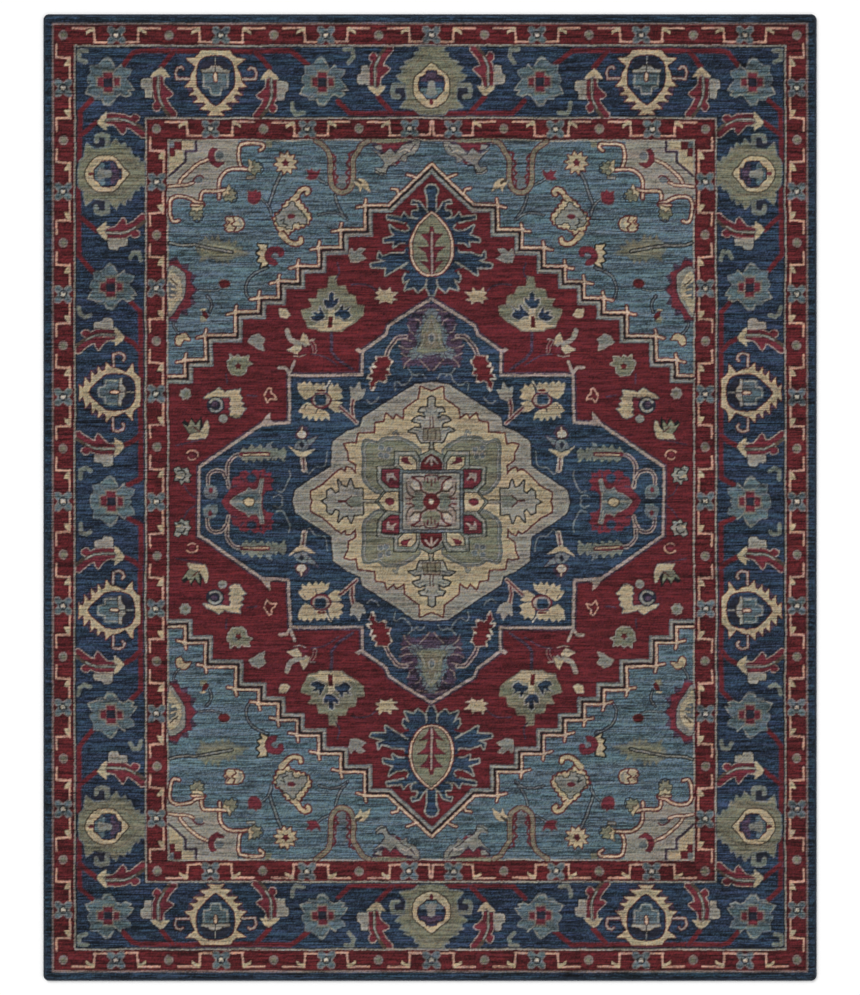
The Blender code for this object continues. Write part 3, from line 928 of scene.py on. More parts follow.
def centre_cross(pen):
    """The stepped green cross of small framed flowers round the square."""
    rimmed = dict(edge="black", width=1)
    pen.area("sage", ((-57, 0), (-46, 12), (-31, 12), (-31, 30), (-15, 30), (-15, 44), (0, 52), (0, 0)),
             "black", 1.1)
    pen.area("sage", ((-56, 34), (-55, 18), (-45, 8), (-30, 12), (-30, 36)), "black", 1)
    pen.area("sage", ((-38, 50), (-16, 50), (-12, 42), (-13, 29), (-30, 29), (-38, 34)), "black", 1)
    pen.line("pearl", ((-30, 34.6), (-54, 34.2), (-53, 18.4), (-45, 10), (-31, 10)), 1.3)
    pen.line("pearl", ((-36, 36), (-36, 48), (-18, 48), (-14, 42), (-14, 32)), 1.3)
    pen.line("pearl", ((-54.5, -1), (-45.5, 9.5)), 1.3)
    pen.area("crimson", ((-51, 31.5), (-50.5, 20), (-42, 13), (-33, 13.5), (-33, 31.5)), "black", 1)
    pen.area("rose", ((-46, 27.5), (-38, 28), (-38.5, 25), (-35, 21), (-37, 20.5), (-41, 23.5), (-43, 22),
                      (-44, 18.5), (-46, 20)))
    pen.area("cream", ((-33, 44), (-20, 44.5), (-15.5, 39), (-15.5, 31.5), (-28, 31.5), (-33, 36)), **rimmed)
    pen.area("crimson", ((-31.5, 42), (-29, 44), (-24, 44), (-23, 40), (-19, 35.5), (-27, 37.5), (-31, 39)))
    pen.area("guard_red", ((0, 48), (-7, 44), (-11, 38), (-11, 31), (0, 31)), "grey", 1)
    pen.line("rose", ((-6, 38), (-1, 44), (0, 44)), 1.8)
    pen.line("rose", ((0, 44), (0, 36)), 2)
    pen.area("cream", ((-54, 0), (-47, 8), (-34, 9), (-34, -14), (-44, -10)), **rimmed)
    pen.disc("crimson", (-43, 0), (5, 3.6))


def centre_square(pen):
    """The floral square at the very centre."""
    pen.area("slate", ((-32, -32), (-32, 30.5), (2, 30.5), (2, -32)), "black", 0.9)
    pen.area("pearl", ((-28.5, -28.5), (-28.5, 27), (2, 27), (2, -28.5)), "black", 1)
    pen.area("rose", ((-25, -25), (-25, 23), (2, 23), (2, -25)))
    pen.area("olive", ((0, 21), (-8, 20), (-9, 13), (-6, 10), (0, 9)), "pearl", 0.6)
    pen.area("sage", ((-17, 8), (-9, 8), (-8, 0), (-20, 0)), "pearl", 0.6)
    pen.area("ivory", ((-20, 20), (-14, 19), (-12, 12), (-16, 11), (-21, 15)))
    pen.line("dark_red", ((-20, 23), (-15, 21), (-11, 17), (-10, 11), (-4, 7)), 1.9, curved=True)
    pen.line("guard_red", ((-20, 23.5), (-12, 24.5), (-7, 23)), 1.5)
    pen.line("umber", ((-25, 18), (-25, 11), (-22, 6), (-17, 4)), 1.5)
    pen.line("dark_red", ((-26, 2.5), (-21, 2), (-18, 4)), 1.5)
    pen.line("umber", ((-21, 14), (-17, 10), (-10, 10), (-5, 7)), 1.8)
    pen.line("crimson", ((-7, 20.5), (-6, 25), (2, 26)), 1.5)
    pen.line("crimson", ((-4, 22), (-3.5, 18)), 1.6)
    pen.line("dark_red", ((0, 21), (0, 15)), 1.4)
    pen.area("dark_red", ((0, 8.5), (-5, 6.5), (-8.5, 2), (-8.5, -6), (0, -10), (2, 0)))
    pen.disc("ivory", (0, 0), (2.4, 2.4))


def medallion(pen):
    """The dark-blue medallion, with its flowers, its pale line and its core."""
    pen.area("ink", (*MEDALLION, (-240, -10), (0, -10)))
    crown_flower(pen)
    side_flower(pen)
    arched_stem(pen)
    caterpillar_leaf(pen)
    goblet_flower(pen)
    cross_flower(pen.at(-114, 102))
    stalk_tulip(pen)
    hop_bud(pen)
    squiggles(pen)
    medallion_line(pen)
    core(pen)


# ---------------------------------------------------------------- the borders
def rosette(pen):
    """The pointed teal flower of the main border, with a red cross in it."""
    rim = ((-1, 25), (3, 22), (5.5, 17), (7.5, 12), (13, 17.5), (14, 14), (23, 11.5), (22, 7), (17.5, 3),
           (22, -2), (26, -8), (20, -8.5), (23.5, -12.5), (17.5, -15), (12.5, -12), (8, -14.5), (6, -18.5),
           (2, -23.5), (-4, -23), (-7, -17.5), (-13.5, -17.5), (-15.5, -14.5), (-24, -11.5), (-21, -6),
           (-17.5, -3), (-21.5, 0.5), (-20.5, 5.5), (-17.5, 8.5), (-18.5, 16), (-11.5, 16.5), (-7.5, 19.5),
           (-4.5, 23))
    pen.area("teal", rim, "midnight", 0.8)
    pen.line("slate", (*rim, rim[0]), 1.3)
    for run in (
        ((22, -2), (26, -8), (20, -9), (23, -12.5), (17.5, -14.5), (12.5, -12), (8.5, -14.5)),
        ((5, -18), (1.5, -22), (-4, -21.5), (-6, -17)),
        ((-9, -15), (-15.5, -14), (-23, -11.5), (-20, -5)),
        ((4, 10), (8, 13), (13, 17)),
        ((-4, 22), (0, 23.5), (5, 17)),
    ):
        pen.line("grey", run, 1.2)
    for run in (((7, -9), (10, -12)), ((-8, -9), (-10, -15)), ((-14, -3), (-9, -4)), ((-17, 8), (-11, 6)),
                ((-11, 16), (-7, 12)), ((17, 3), (11, 4)), ((7, 11), (5, 8))):
        pen.line("slate", run, 1.4)
    pen.area("sage", ((-13, -6), (-13, 6), (-6, 7), (-6, 12.5), (6, 12.5), (6, 7), (13, 6), (13, -6), (6, -7),
                      (6, -13), (-6, -13), (-6, -7)))
    pen.area("stone", ((-11.5, -5), (-11.5, 5), (-5.5, 6), (-5.5, 10.5), (5.5, 10.5), (5.5, 6), (12.5, 5),
                       (12.5, -4.5), (5.5, -6), (5.5, -10.5), (-5.5, -10.5), (-5.5, -6)))
    pen.area("crimson", ((-4.5, -9.5), (-4.5, 9.5), (4.5, 9.5), (4.5, -9.5)))
    pen.area("crimson", ((-10.5, -4), (-10.5, 4), (-5, 5), (-5, -5)))
    pen.area("crimson", ((11.5, -3.5), (11.5, 3.5), (6, 4.5), (6, -4)))
    pen.area("midnight", ((-4.5, -4.5), (-4.5, 4), (4, 4), (4, -4.5)))


def vine_leaf(pen, bracket=True):
    """A red split leaf hanging from a cream cap, with a pale stepped block at its side."""
    if bracket:
        pen.area("taupe", ((-20, -13), (-18, -11), (-9, -10.5), (-9, -30), (-16, -29.5), (-16.5, -22),
                           (-20, -20)), "midnight", 0.9)
    pen.area("crimson", ((-8, -8), (-4, -8), (-4.5, -22), (-3, -28), (0, -33), (0.5, -38), (-2, -42),
                         (-5, -42.5), (-7.5, -39), (-7.5, -36), (-4.5, -33.5), (-7.5, -28), (-8, -22)),
             "rose", 0.9)
    pen.area("crimson", ((-0.5, -8), (2, -9), (3.5, -17), (7, -20.5), (12, -24.5), (13, -26), (9.5, -28.5),
                         (6, -29), (7, -33), (10, -37.5), (16.5, -45), (16, -48.5), (8, -48), (4, -41),
                         (1, -34), (-0.5, -30)), "rose", 1)
    pen.line("umber", ((-2.4, -9), (-2.6, -20), (-2, -28), (0, -33), (3.5, -41), (9, -47.5)), 3.4)
    pen.line("grey", ((-2.4, -9), (-2.6, -20), (-2, -28), (0, -33), (3, -38)), 1.7)
    pen.area("cream", ((0, 0.5), (-4.5, -3), (-7.5, -5.5), (-10, -9), (-5, -9), (0, -6), (2, -8), (4, -12),
                       (4, -8.5), (9, -9), (6, -5), (4, -2)), "grey", 0.5)


def cream_palmette(pen):
    """The big pale palmette with a dark blue heart and curled hooks at its sides."""
    pen.area("plum", both(((-24, 2), (-30.5, -1), (-29, -9), (-25, -16.5), (-20, -23), (-13, -28), (-6, -32),
                           (0, -31))))
    edge = ((0, 31), (-15, 31), (-17.5, 27), (-21.5, 23.5), (-30.5, 23), (-26, 19), (-21, 15.5), (-22.5, 12),
            (-24.5, 8.5), (-26, 3.5), (-27, -0.5), (-32, -5), (-27.5, -5.5), (-23.5, -6), (-22, -9.5),
            (-27.5, -13.5), (-20.5, -13.5), (-18, -16.5), (-23, -20.5), (-12.5, -20.5), (-10, -22.5),
            (-16.5, -27.5), (-8.5, -28), (-4.5, -29.5), (-8.5, -33.5), (0, -33))
    pen.area("cream", both(edge), "dark_red", 0.8)
    window = ((0, 25.5), (-7.5, 25), (-12.5, 23), (-16, 20), (-18, 16), (-19.2, 12), (-19.7, 2.5),
              (-18.5, -5.5), (-14.5, -10.5), (-9, -16.5), (-4.5, -21), (0, -23.5))
    pen.area("navy", both(window), "dark_red", 0.9)
    pen.area("midnight", ((-17, 15), (-8, 23), (8, 23), (17, 15), (13, 12), (-13, 12)))
    pen.line("grey", ((0, 24), (0, 17)), 1.3)
    lobe = ((0, -14), (-5, -13.5), (-6.5, -8), (-12.5, -7), (-13.5, -1), (-13, 7), (0, 8))
    pen.area("teal", both(lobe), "slate", 0.6)
    cup = ((0, 16), (-1.5, 15), (-4, 15), (-8, 11.5), (-15, 11), (-14, 8.5), (-6, 8.5), (0, 9))
    pen.area("taupe", both(cup), "umber", 0.8)
    for half in pen.halves():
        half.line("pearl", ((-12, 6), (-12.2, -5.5), (-6, -6), (-4.5, -12.5), (-0.5, -12.8)), 1.2)
        half.line("slate", ((-6, 6), (-5.5, -1)), 1.2)
        half.line("rose", ((-27.5, 2.5), (-40.5, 2.5), (-42, 8.5), (-40, 13), (-36, 14.5), (-34, 12.5)), 2,
                  "guard_red", 0.9)
    pen.line("midnight", ((0, 16), (0, 8)), 1)
    pen.area("pink", arc((0, 4), (1.6, 4.6), 0, 330, 12), "guard_red", 1.2)


def green_palmette(pen):
    """The olive toothed palmette with a pale six-sided window and curled hooks."""
    for half in pen.halves():
        half.area("midnight", ((-38, 0), (-26, 0), (-26, -8), (-32, -14), (-38, -6)))
        half.line("sage", ((-24, 2.5), (-39, 2.5), (-40.5, -4), (-39, -8.5), (-34, -9)), 3.8, "slate", 0.7)
    leaf = ((0, 41), (-13, 40.5), (-10, 36), (-17, 34.5), (-15.5, 30), (-20, 28), (-27, 25.5), (-24.5, 22.5),
            (-32, 20), (-28, 15), (-36, 11.5), (-31, 6.5), (-27, 5), (-26, -4), (-25, -11), (-32, -19),
            (-25, -20.5), (-18, -21), (-13, -26), (0, -27))
    pen.area("olive", both(leaf), "slate", 1.1)
    for half in pen.halves():
        half.line("sage", ((-11, 39), (-14, 33), (-23, 25), (-28, 19), (-32, 11)), 1.6)
        half.line("khaki", ((-5, 36), (-12, 28), (-21, 17), (-22, -10), (-14, -22)), 1.2)
    ring = ((0, 24.5), (-3, 22.5), (-8, 17.5), (-15, 12.5), (-18, 8), (-18.5, 2), (-18, -6), (-15, -12),
            (-10, -16), (-5, -19), (0, -20))
    pen.area("cream", both(ring), "umber", 1.3)
    heart = ((0, 17), (-5, 16.5), (-6, 13), (-12, 10.5), (-13.5, 5), (-13, -3), (-8, -7), (-5, -11), (0, -11))
    pen.area("navy", both(heart), "guard_red", 0.8)
    pen.area("plum", both(((0, 15), (-4.5, 15), (-6, 11), (-11, 9), (-11, 6), (0, 6))))
    pen.area("teal", both(((0, -1), (-10, 0), (-12.5, -4), (-7, -7), (-5, -10), (0, -10))))
    pen.area("grey", both(((0, 7), (-3, 6), (-3.5, 1), (-6, -6), (0, -8))), "slate", 0.6)
    pen.area("crimson", arc((0, -14), (2, 3.4), 0, 330, 10))


def turned(points, degrees):
    """The points turned about the origin."""
    angle = np.radians(degrees)
    return np.array(points) @ np.array(((np.cos(angle), np.sin(angle)), (-np.sin(angle), np.cos(angle))))


def guard_flower(pen):
    """The small slate four-lobed flower of the guards."""
    quarter = ((-8.8, 4.5), (-8.3, 8.3), (-4.5, 8.8), (0, 5))
    pen.area("slate", np.vstack([turned(quarter, -90 * k) for k in range(4)]), "stone", 0.7)
    for k in range(4):
        lobe = pen.at(0, 0, 90 * k)
        lobe.line("teal", ((-3.5, 4), (-6, 6.5)), 2.4)
        lobe.line("black", ((-1.5, 3.6), (1.5, 3.6)), 1.2)
    pen.area("ivory", ((-2.6, -1.4), (-2.2, 2.2), (0, 1.2), (2.4, 2), (1.8, -1), (0, -2.4)), "midnight", 0.8)


def guard_dot(pen):
    """The small grey dot of the guards with its red bloom."""
    for x, y in ((-5, 4), (5, 5), (6, -4), (-4, -6)):
        pen.disc("dark_red", (x, y), 3)
    pen.area("stone", arc((0, 0), (5, 5.2), 0, 324, 10))
    pen.disc("olive", (0.3, 0), 2.8)


def guard_step(pen, length, cross, hook):
    """The stepping line from a dot, at the origin, to the flower this far along. Outside is +y."""
    pen.line("blush", ((9.5, 6.8), (cross, 7.2)), 2)
    pen.line("blush", ((cross, 7.2), (cross + 1, -7)), 2.2)
    pen.line("blush", ((cross, -7), (length - 10, -7)), 2)
    pen.area("cream", hook)


def guard_side(pen, start, places, onward, cross, hook):
    """One side of a guard. The places are those of its dots and flowers, in turn, from the corner."""
    guard_dot(pen.at(*start[0]))
    for k in range(1, len(places)):
        low, high = places[k - 1], places[k]
        spot = start[1](high)
        if k % 2:
            guard_flower(pen.at(*spot))
            guard_step(pen.at(*start[1](low), *onward), high - low, cross, hook)
        else:
            guard_dot(pen.at(*spot))
            back = (*onward[:2], not onward[2])
            guard_step(pen.at(*spot, *back), high - low, cross, hook)


ALONG_HOOK = ((24, -7), (31.5, -7), (31.5, -1), (28, -2), (24, -5))
ACROSS_HOOK = ((23.5, 0.5), (23.5, 4), (30, 8.2), (32, 8), (32, 3.5), (28, 3.5))


def guards(pen):
    """The two guards' flowers and dots, with the line that steps between them."""
    outer = np.arange(8) * 54.17
    guard_side(pen, ((-379.2, 478.1), lambda u: (u - 379.2, 478.1)), outer, (0, 1, False), 31.5, ACROSS_HOOK)
    outer = np.arange(11) * 53.1
    guard_side(pen, ((-379.2, 478.1), lambda u: (-379.2, 478.1 - u)), outer, (90, 1, True), 22.5, ALONG_HOOK)
    inner = np.array((-283.8, -228, -173.6, -128, -74.5, -22.2)) + 283.8
    guard_side(pen, ((-283.6, 383.7), lambda u: (u - 283.8, 383.7)), inner, (0, 1, False), 31.5, ACROSS_HOOK)
    inner = np.arange(9) * 54.87
    guard_side(pen, ((-283.6, 383.7), lambda u: (-283.6, 383.7 - u)), inner, (90, 1, True), 22.5, ALONG_HOOK)
    pen.line("blush", ((-12, 377), (-2, 377), (-1, 391), (5, 391)), 2.2)


def frame_of(pen, name, inset):
    """Fills the rectangle this far in from the edge."""
    across = HALF_ACROSS - inset
    along = HALF_ALONG - inset
    pen.area(name, ((-across, -5), (-across, along), (5, along), (5, -5)))


def vines(pen):
    """The red vine of the main border, its branches and the small green hooks beside it."""
    for run in (
        ((-318, 448), (-308, 460), (-300, 462), (-145, 462), (-127, 448)),
        ((-96, 412), (-84, 400), (-74, 399.5), (-14, 399.5)),
        ((-266, 462), (-279, 446)),
        ((-181, 461), (-167, 445)),
        ((-40, 400), (-55, 416)),
        ((-349, 414), (-362, 402), (-363, 350)),
        ((-363, 322), (-363, 253), (-349, 236)),
        ((-313, 208), (-300, 195), (-300, 22), (-313, 16)),
        ((-362, 377), (-345, 391)),
        ((-363, 294), (-345, 279)),
        ((-301, 154), (-308, 162), (-317, 167)),
        ((-300, 67), (-308, 60), (-317, 56)),
    ):
        pen.line("red", run, 4.6, "plum", 0.6)
    for run in (
        ((-355, 462), (-363, 462), (-363, 453), (-356, 451)),
        ((-89, 463), (-81, 463), (-80, 456), (-85, 450)),
        ((-143.5, 410), (-143, 404), (-140, 399), (-132, 400.5)),
        ((-311, 250), (-308, 256), (-302, 256), (-300, 248)),
        ((-363, 199), (-361, 192), (-357, 189), (-351, 191)),
        ((-361, 22), (-361, 31), (-355, 33), (-351, 30)),
    ):
        pen.line("sage", run, 3.2, "slate", 0.7)


def border(pen):
    """The main border's vine and flowers."""
    vines(pen)
    for x, y in ((-333, 431), (-112, 431), (-330, 220), (-330, 0)):
        rosette(pen.at(x, y))
    for x, y, turn, flip, bracket in (
        (-279.5, 445, 0, False, True),
        (-167.5, 443, 0, True, True),
        (-56, 417.5, 180, True, True),
        (-344, 391, 90, True, False),
        (-344, 279, 90, False, True),
        (-317.5, 168, -90, False, True),
        (-317.5, 55, -90, True, True),
    ):
        vine_leaf(pen.at(x, y, turn, flip=flip), bracket)
    cream_palmette(pen.at(-222.5, 431.5))
    cream_palmette(pen.at(-330.5, 111, -90, 0.97))
    green_palmette(pen.at(0, 425))
    green_palmette(pen.at(-336.5, 337, -90))


# The bands from the edge in: each one's wool, and how many tufts in from the edge it starts
OUTER_BANDS = (
    ("deep", -5), ("stone", 9.3), ("guard_red", 11), ("taupe", 32), ("black", 33.5), ("navy", 34.6),
    ("black", 103.6), ("taupe", 104.3), ("guard_red", 105.9),
)
INNER_BANDS = (("taupe", 127.4), ("red", 129.1))


def draw_all(pen):
    """The whole quarter, from the edge band to the medallion."""
    for name, inset in OUTER_BANDS:
        frame_of(pen, name, inset)
    guards(pen)
    for name, inset in INNER_BANDS:
        frame_of(pen, name, inset)
    corner_field(pen)
    red_field(pen)
    medallion(pen)
    border(pen)


# ---------------------------------------------------------------- from the drawing to wool
# How far the made design sits to the right and above its place, by the tufts in from the edge
DRIFT_ACROSS = ((33, 105, 270), (0, 1, 1.5))
DRIFT_ALONG = ((33, 105, 380), (0, -2.5, -4))
# How far the two halves are pushed apart there
SPREAD_ACROSS = ((105, 270, 380, 400), (0, 0.5, 0.5, 0))
SPREAD_ALONG = ((105, 380, 480, 500), (0, 1.5, 1.5, 0))
# Ripples, each with its seed, the rows and columns of tufts in a cell, and its strength
WANDER_ACROSS = ((1, (37, 43), 0.6), (2, (9, 13), 0.3), (5, (2, 2), 0.36))
WANDER_ALONG = ((3, (41, 35), 0.6), (4, (11, 9), 0.3), (6, (2, 2), 0.36))
# The streaks of the pile's colour: partly the dye's streaks, partly painted shade between the rows of tufts
STREAKS = (
    (11, (1, 8), 1.3), (12, (1, 26), 1.3), (13, (2, 60), 0.35), (14, (6, 150), 0.3), (18, (17, 330), 0.3),
)
UNEVEN = ((21, (25, 31), 0.0003), (22, (3, 3), 0.00012))
# Each tuft mixes the wools this far round it, and is carved down, with painted shade in the carving, if
# another wool is this near
MIXED = 0.37
NEAR = 0.8
# The radius of the rug's corners, the depth of the carving, and how the pile rolls down at the rug's edge
CORNER = 4 * TUFT
CARVED = 0.0012
ROLL_DOWN = 0.0032
ROLL_TUFTS = 2.5


def ripple(seed, shape, cell):
    """Seeded smooth noise from -1 to 1, with cells this many rows and columns in size."""
    rng = np.random.default_rng(seed)
    rows, columns = (int(np.ceil(n / c)) + 2 for n, c in zip(shape, cell))
    grid = rng.uniform(-1, 1, (rows, columns))
    steps = []
    for count, size in zip(shape, cell):
        at = np.arange(count) / size
        whole = at.astype(int)
        part = at - whole
        steps.append((whole, part * part * (3 - 2 * part)))
    (row, down), (column, over) = steps
    low = grid[row][:, column] * (1 - over) + grid[row][:, column + 1] * over
    high = grid[row + 1][:, column] * (1 - over) + grid[row + 1][:, column + 1] * over
    return low * (1 - down[:, None]) + high * down[:, None]


def ripples(shape, waves):
    """Several ripples added up."""
    return sum(strength * ripple(seed, shape, cell) for seed, cell, strength in waves)


def made_at(places, half, drift, spread):
    """The design's place that was made at each of these places, along one direction."""
    inset = half - abs(places)
    moved = places - np.interp(inset, *drift)
    return moved - np.sign(moved) * np.interp(inset, *spread)


def linear(display):
    """Display values from 0 to 255 as the linear values that a shader takes."""
    share = np.asarray(display) / 255
    return np.where(share <= 0.04045, share / 12.92, ((share + 0.055) / 1.055) ** 2.4)


def lattice():
    """The whole rug on its tufts' corners: the wool's colour, how it streaks, and where it is carved."""
    sheet = Cartoon(HALF_ACROSS, HALF_ALONG)
    draw_all(Pen(sheet))
    x, y = np.meshgrid(
        made_at(np.arange(-HALF_ACROSS, HALF_ACROSS + 1.0), HALF_ACROSS, DRIFT_ACROSS, SPREAD_ACROSS),
        made_at(np.arange(-HALF_ALONG, HALF_ALONG + 1.0), HALF_ALONG, DRIFT_ALONG, SPREAD_ALONG),
    )
    shape = x.shape
    from_edge = np.minimum(HALF_ACROSS - abs(x), HALF_ALONG - abs(y))
    loose = np.clip((from_edge - 8) / 20, 0, 1)
    x = x + loose * ripples(shape, WANDER_ACROSS)
    y = y + loose * ripples(shape, WANDER_ALONG)

    def yarn_at(dx, dy):
        column = ((HALF_ACROSS - abs(x + dx)) * sheet.FINE).astype(int)
        row = (abs(y + dy) * sheet.FINE).astype(int)
        last_row, last_column = (count - 1 for count in sheet.cells.shape)
        return sheet.cells[np.clip(row, 0, last_row), np.clip(column, 0, last_column)]

    dyes = linear([display for _, display, _ in YARNS.values()])
    streaky = np.array([streak for _, _, streak in YARNS.values()])
    colour = np.zeros((*shape, 3))
    streak = np.zeros(shape)
    middle = yarn_at(0, 0)
    change = np.zeros(shape)
    for dx in (-1, 0, 1):
        for dy in (-1, 0, 1):
            found = yarn_at(MIXED * dx, MIXED * dy)
            colour += dyes[found] / 9
            streak += streaky[found] / 9
            change += (yarn_at(NEAR * dx, NEAR * dy) != middle) / 8
    return colour, streak, np.clip(1.6 * change, 0, 1)


def blurred(values, reach):
    """The values averaged over a square this many tufts out on each side."""
    for axis in (0, 1):
        values = sum(np.roll(values, step, axis) for step in range(-reach, reach + 1)) / (2 * reach + 1)
    return values


def dyed_and_shaded(colour, streak, change):
    """The wool's colours with the streaks of its hand dyeing, which run across the rug and are partly painted
    shade between the rows of tufts, and its mixed fibres; with painted shade in the carved grooves, and
    painted shade and painted highlight on the two sides of each edge between wools.
    """
    shape = streak.shape
    # Streaks one tuft row and more tall: partly dye, partly painted shade between the rows of tufts
    tone = ripples(shape, STREAKS) + 0.75 * np.random.default_rng(15).normal(0, 1, shape)
    tone = tone - 0.14 * tone**2 + 0.14
    # Painted shade on the darker side and painted highlight on the lighter side of each edge between wools
    depth = np.log(colour.sum(-1))
    painted_edge_light = 0.6 * (depth - blurred(depth, 1)) + 0.3 * (depth - blurred(depth, 3))
    warm = 0.04 * ripple(16, shape, (3, 40)) + 0.08 * np.random.default_rng(17).normal(0, 1, shape)
    green = 0.13 * streak * ripple(19, shape, (2.5, 34))
    # The streaks, the painted edge shade and highlight, and painted shade in the carved grooves where another
    # wool is near
    shade = np.exp(0.8 * streak * tone + np.clip(painted_edge_light, -0.45, 0.35) - 0.12 * change)[..., None]
    return colour * shade * np.exp(warm[..., None] * (1, 0.2, -1) + green[..., None] * (-1, 0.6, -0.2))


def heights(change):
    """The cut pile's height, carved round each shape, uneven from tuft to tuft and low at the rug's edge."""
    shape = change.shape
    uneven = ripples(shape, UNEVEN) + 0.00014 * np.random.default_rng(23).normal(0, 1, shape)
    row, column = np.indices(shape)
    from_edge = np.minimum(
        np.minimum(column, shape[1] - 1 - column), np.minimum(row, shape[0] - 1 - row)
    ) - SELVEDGE
    rolled = np.clip(1 - from_edge / ROLL_TUFTS, 0, 1) ** 2
    return TOP_Z - CARVED * change + uneven - 0.0002 - ROLL_DOWN * rolled


def rounded(places):
    """Draws the rug's square corners in to round ones. Places are in metres, x and y first."""
    centre = np.array(cad_box[1][:2]) - SELVEDGE * TUFT - CORNER
    beyond = np.maximum(abs(places[..., :2]) - centre, 0)
    reach = np.hypot(beyond[..., 0], beyond[..., 1])
    keep = beyond.max(-1) / np.maximum(reach, 1e-9)
    moved = np.sign(places[..., :2]) * (centre + beyond * keep[..., None])
    at_corner = (beyond > 0).all(-1)
    places = places.copy()
    places[at_corner, :2] = moved[at_corner]
    return places


def owners(nodes):
    """Which CAD pile block each tuft belongs to, read from the blocks' top faces."""
    cells = np.full((2 * HALF_ALONG, 2 * HALF_ACROSS), -1)
    for number, node in enumerate(nodes):
        mesh = node.data
        mesh.calc_loop_triangles()
        for triangle in mesh.loop_triangles:
            if triangle.normal.z < 0.9:
                continue
            corners = np.array([mesh.vertices[v].co[:2] for v in triangle.vertices]) / TUFT
            corners += (HALF_ACROSS, HALF_ALONG)
            low = np.maximum(np.floor(corners.min(0)).astype(int), 0)
            high = np.ceil(corners.max(0)).astype(int) + 1
            view = cells[low[1] : high[1], low[0] : high[0]]
            y, x = np.indices(view.shape) + 0.5 + low[::-1, None, None]
            inside = np.ones(view.shape, bool)
            for (ax, ay), (bx, by) in zip(corners, np.roll(corners, -1, 0)):
                inside &= (bx - ax) * (y - ay) - (by - ay) * (x - ax) >= -1e-6
            view[inside] = number
    while (cells[SELVEDGE:-SELVEDGE, SELVEDGE:-SELVEDGE] < 0).any():
        for shift, axis in ((1, 0), (-1, 0), (1, 1), (-1, 1)):
            moved = np.roll(cells, shift, axis)
            empty = cells < 0
            cells[empty] = moved[empty]
    cells[:SELVEDGE] = cells[-SELVEDGE:] = -1
    cells[:, :SELVEDGE] = cells[:, -SELVEDGE:] = -1
    return cells


def outline_loops(mask):
    """The closed loops of lattice points round the marked tufts, each with the tufts on its left."""
    padded = np.pad(mask, 1)
    inner = padded[1:-1, 1:-1]
    wide = mask.shape[1] + 1
    onward = {}
    for open_side, start, step in (
        (~padded[:-2, 1:-1], (0, 0), (0, 1)),
        (~padded[1:-1, 2:], (0, 1), (1, 0)),
        (~padded[2:, 1:-1], (1, 1), (0, -1)),
        (~padded[1:-1, :-2], (1, 0), (-1, 0)),
    ):
        for row, column in np.argwhere(inner & open_side):
            first = (row + start[0]) * wide + column + start[1]
            onward.setdefault(first, []).append((first + step[0] * wide + step[1], step))
    loops = []
    while onward:
        begin = at = next(iter(onward))
        step = onward[at][0][1]
        loop = []
        while True:
            loop.append(at)
            choices = onward[at]
            left = (step[1], -step[0])
            # Where two tufts touch only at a corner, the loop turns right and takes in both
            chosen = next((c for c in choices if len(choices) > 1 and c[1] != left), choices[0])
            choices.remove(chosen)
            if not choices:
                del onward[at]
            at, step = chosen
            if at == begin:
                break
        loops.append(np.array(loop))
    return loops


def mesh_of(name, points, faces, smooth_faces):
    """A mesh from arrays. Faces are arrays of rows of equal length; the first ones are shaded smooth."""
    mesh = bpy.data.meshes.new(name)
    corners = np.concatenate([f.ravel() for f in faces]).astype(np.int32)
    sizes = np.concatenate([np.full(len(f), f.shape[1]) for f in faces])
    mesh.vertices.add(len(points))
    mesh.vertices.foreach_set("co", np.asarray(points, np.float32).ravel())
    mesh.loops.add(len(corners))
    mesh.loops.foreach_set("vertex_index", corners)
    mesh.polygons.add(len(sizes))
    mesh.polygons.foreach_set("loop_start", (np.cumsum(sizes) - sizes).astype(np.int32))
    mesh.polygons.foreach_set("use_smooth", np.arange(len(sizes)) < smooth_faces)
    mesh.update(calc_edges=True)
    return mesh


def place(name, mesh, material, node):
    """Adds the piece to the scene in the place of this CAD node."""
    piece = bpy.data.objects.new(name, mesh)
    bpy.context.scene.collection.objects.link(piece)
    mesh.materials.append(material)
    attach(piece, "root")
    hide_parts(node)
    return piece


def block_mesh(name, mask, places, paint):
    """A closed block of pile over the marked tufts, with straight sides down to the cloth."""
    wide = mask.shape[1] + 1
    row, column = np.nonzero(mask)
    first = row * wide + column
    quads = np.column_stack((first, first + 1, first + wide + 1, first + wide))
    used, inverse = np.unique(quads, return_inverse=True)
    quads = inverse.reshape(-1, 4)
    points = [places[used]]
    colours = [paint[used]]
    faces = [quads]
    floors = []
    total = len(used)
    for loop in outline_loops(mask):
        rim = np.searchsorted(used, loop)
        foot = total + np.arange(len(rim))
        total += len(rim)
        lowered = places[loop].copy()
        lowered[:, 2] = PILE_Z
        points.append(lowered)
        colours.append(paint[loop])
        faces.append(np.column_stack((rim, foot, np.roll(foot, -1), np.roll(rim, -1))))
        floors.append(foot[::-1][None])
    mesh = mesh_of(name, np.concatenate(points), faces + floors, len(quads))
    attribute = mesh.color_attributes.new("wool", "FLOAT_COLOR", "POINT")
    attribute.data.foreach_set("color", np.concatenate(colours).ravel())
    return mesh


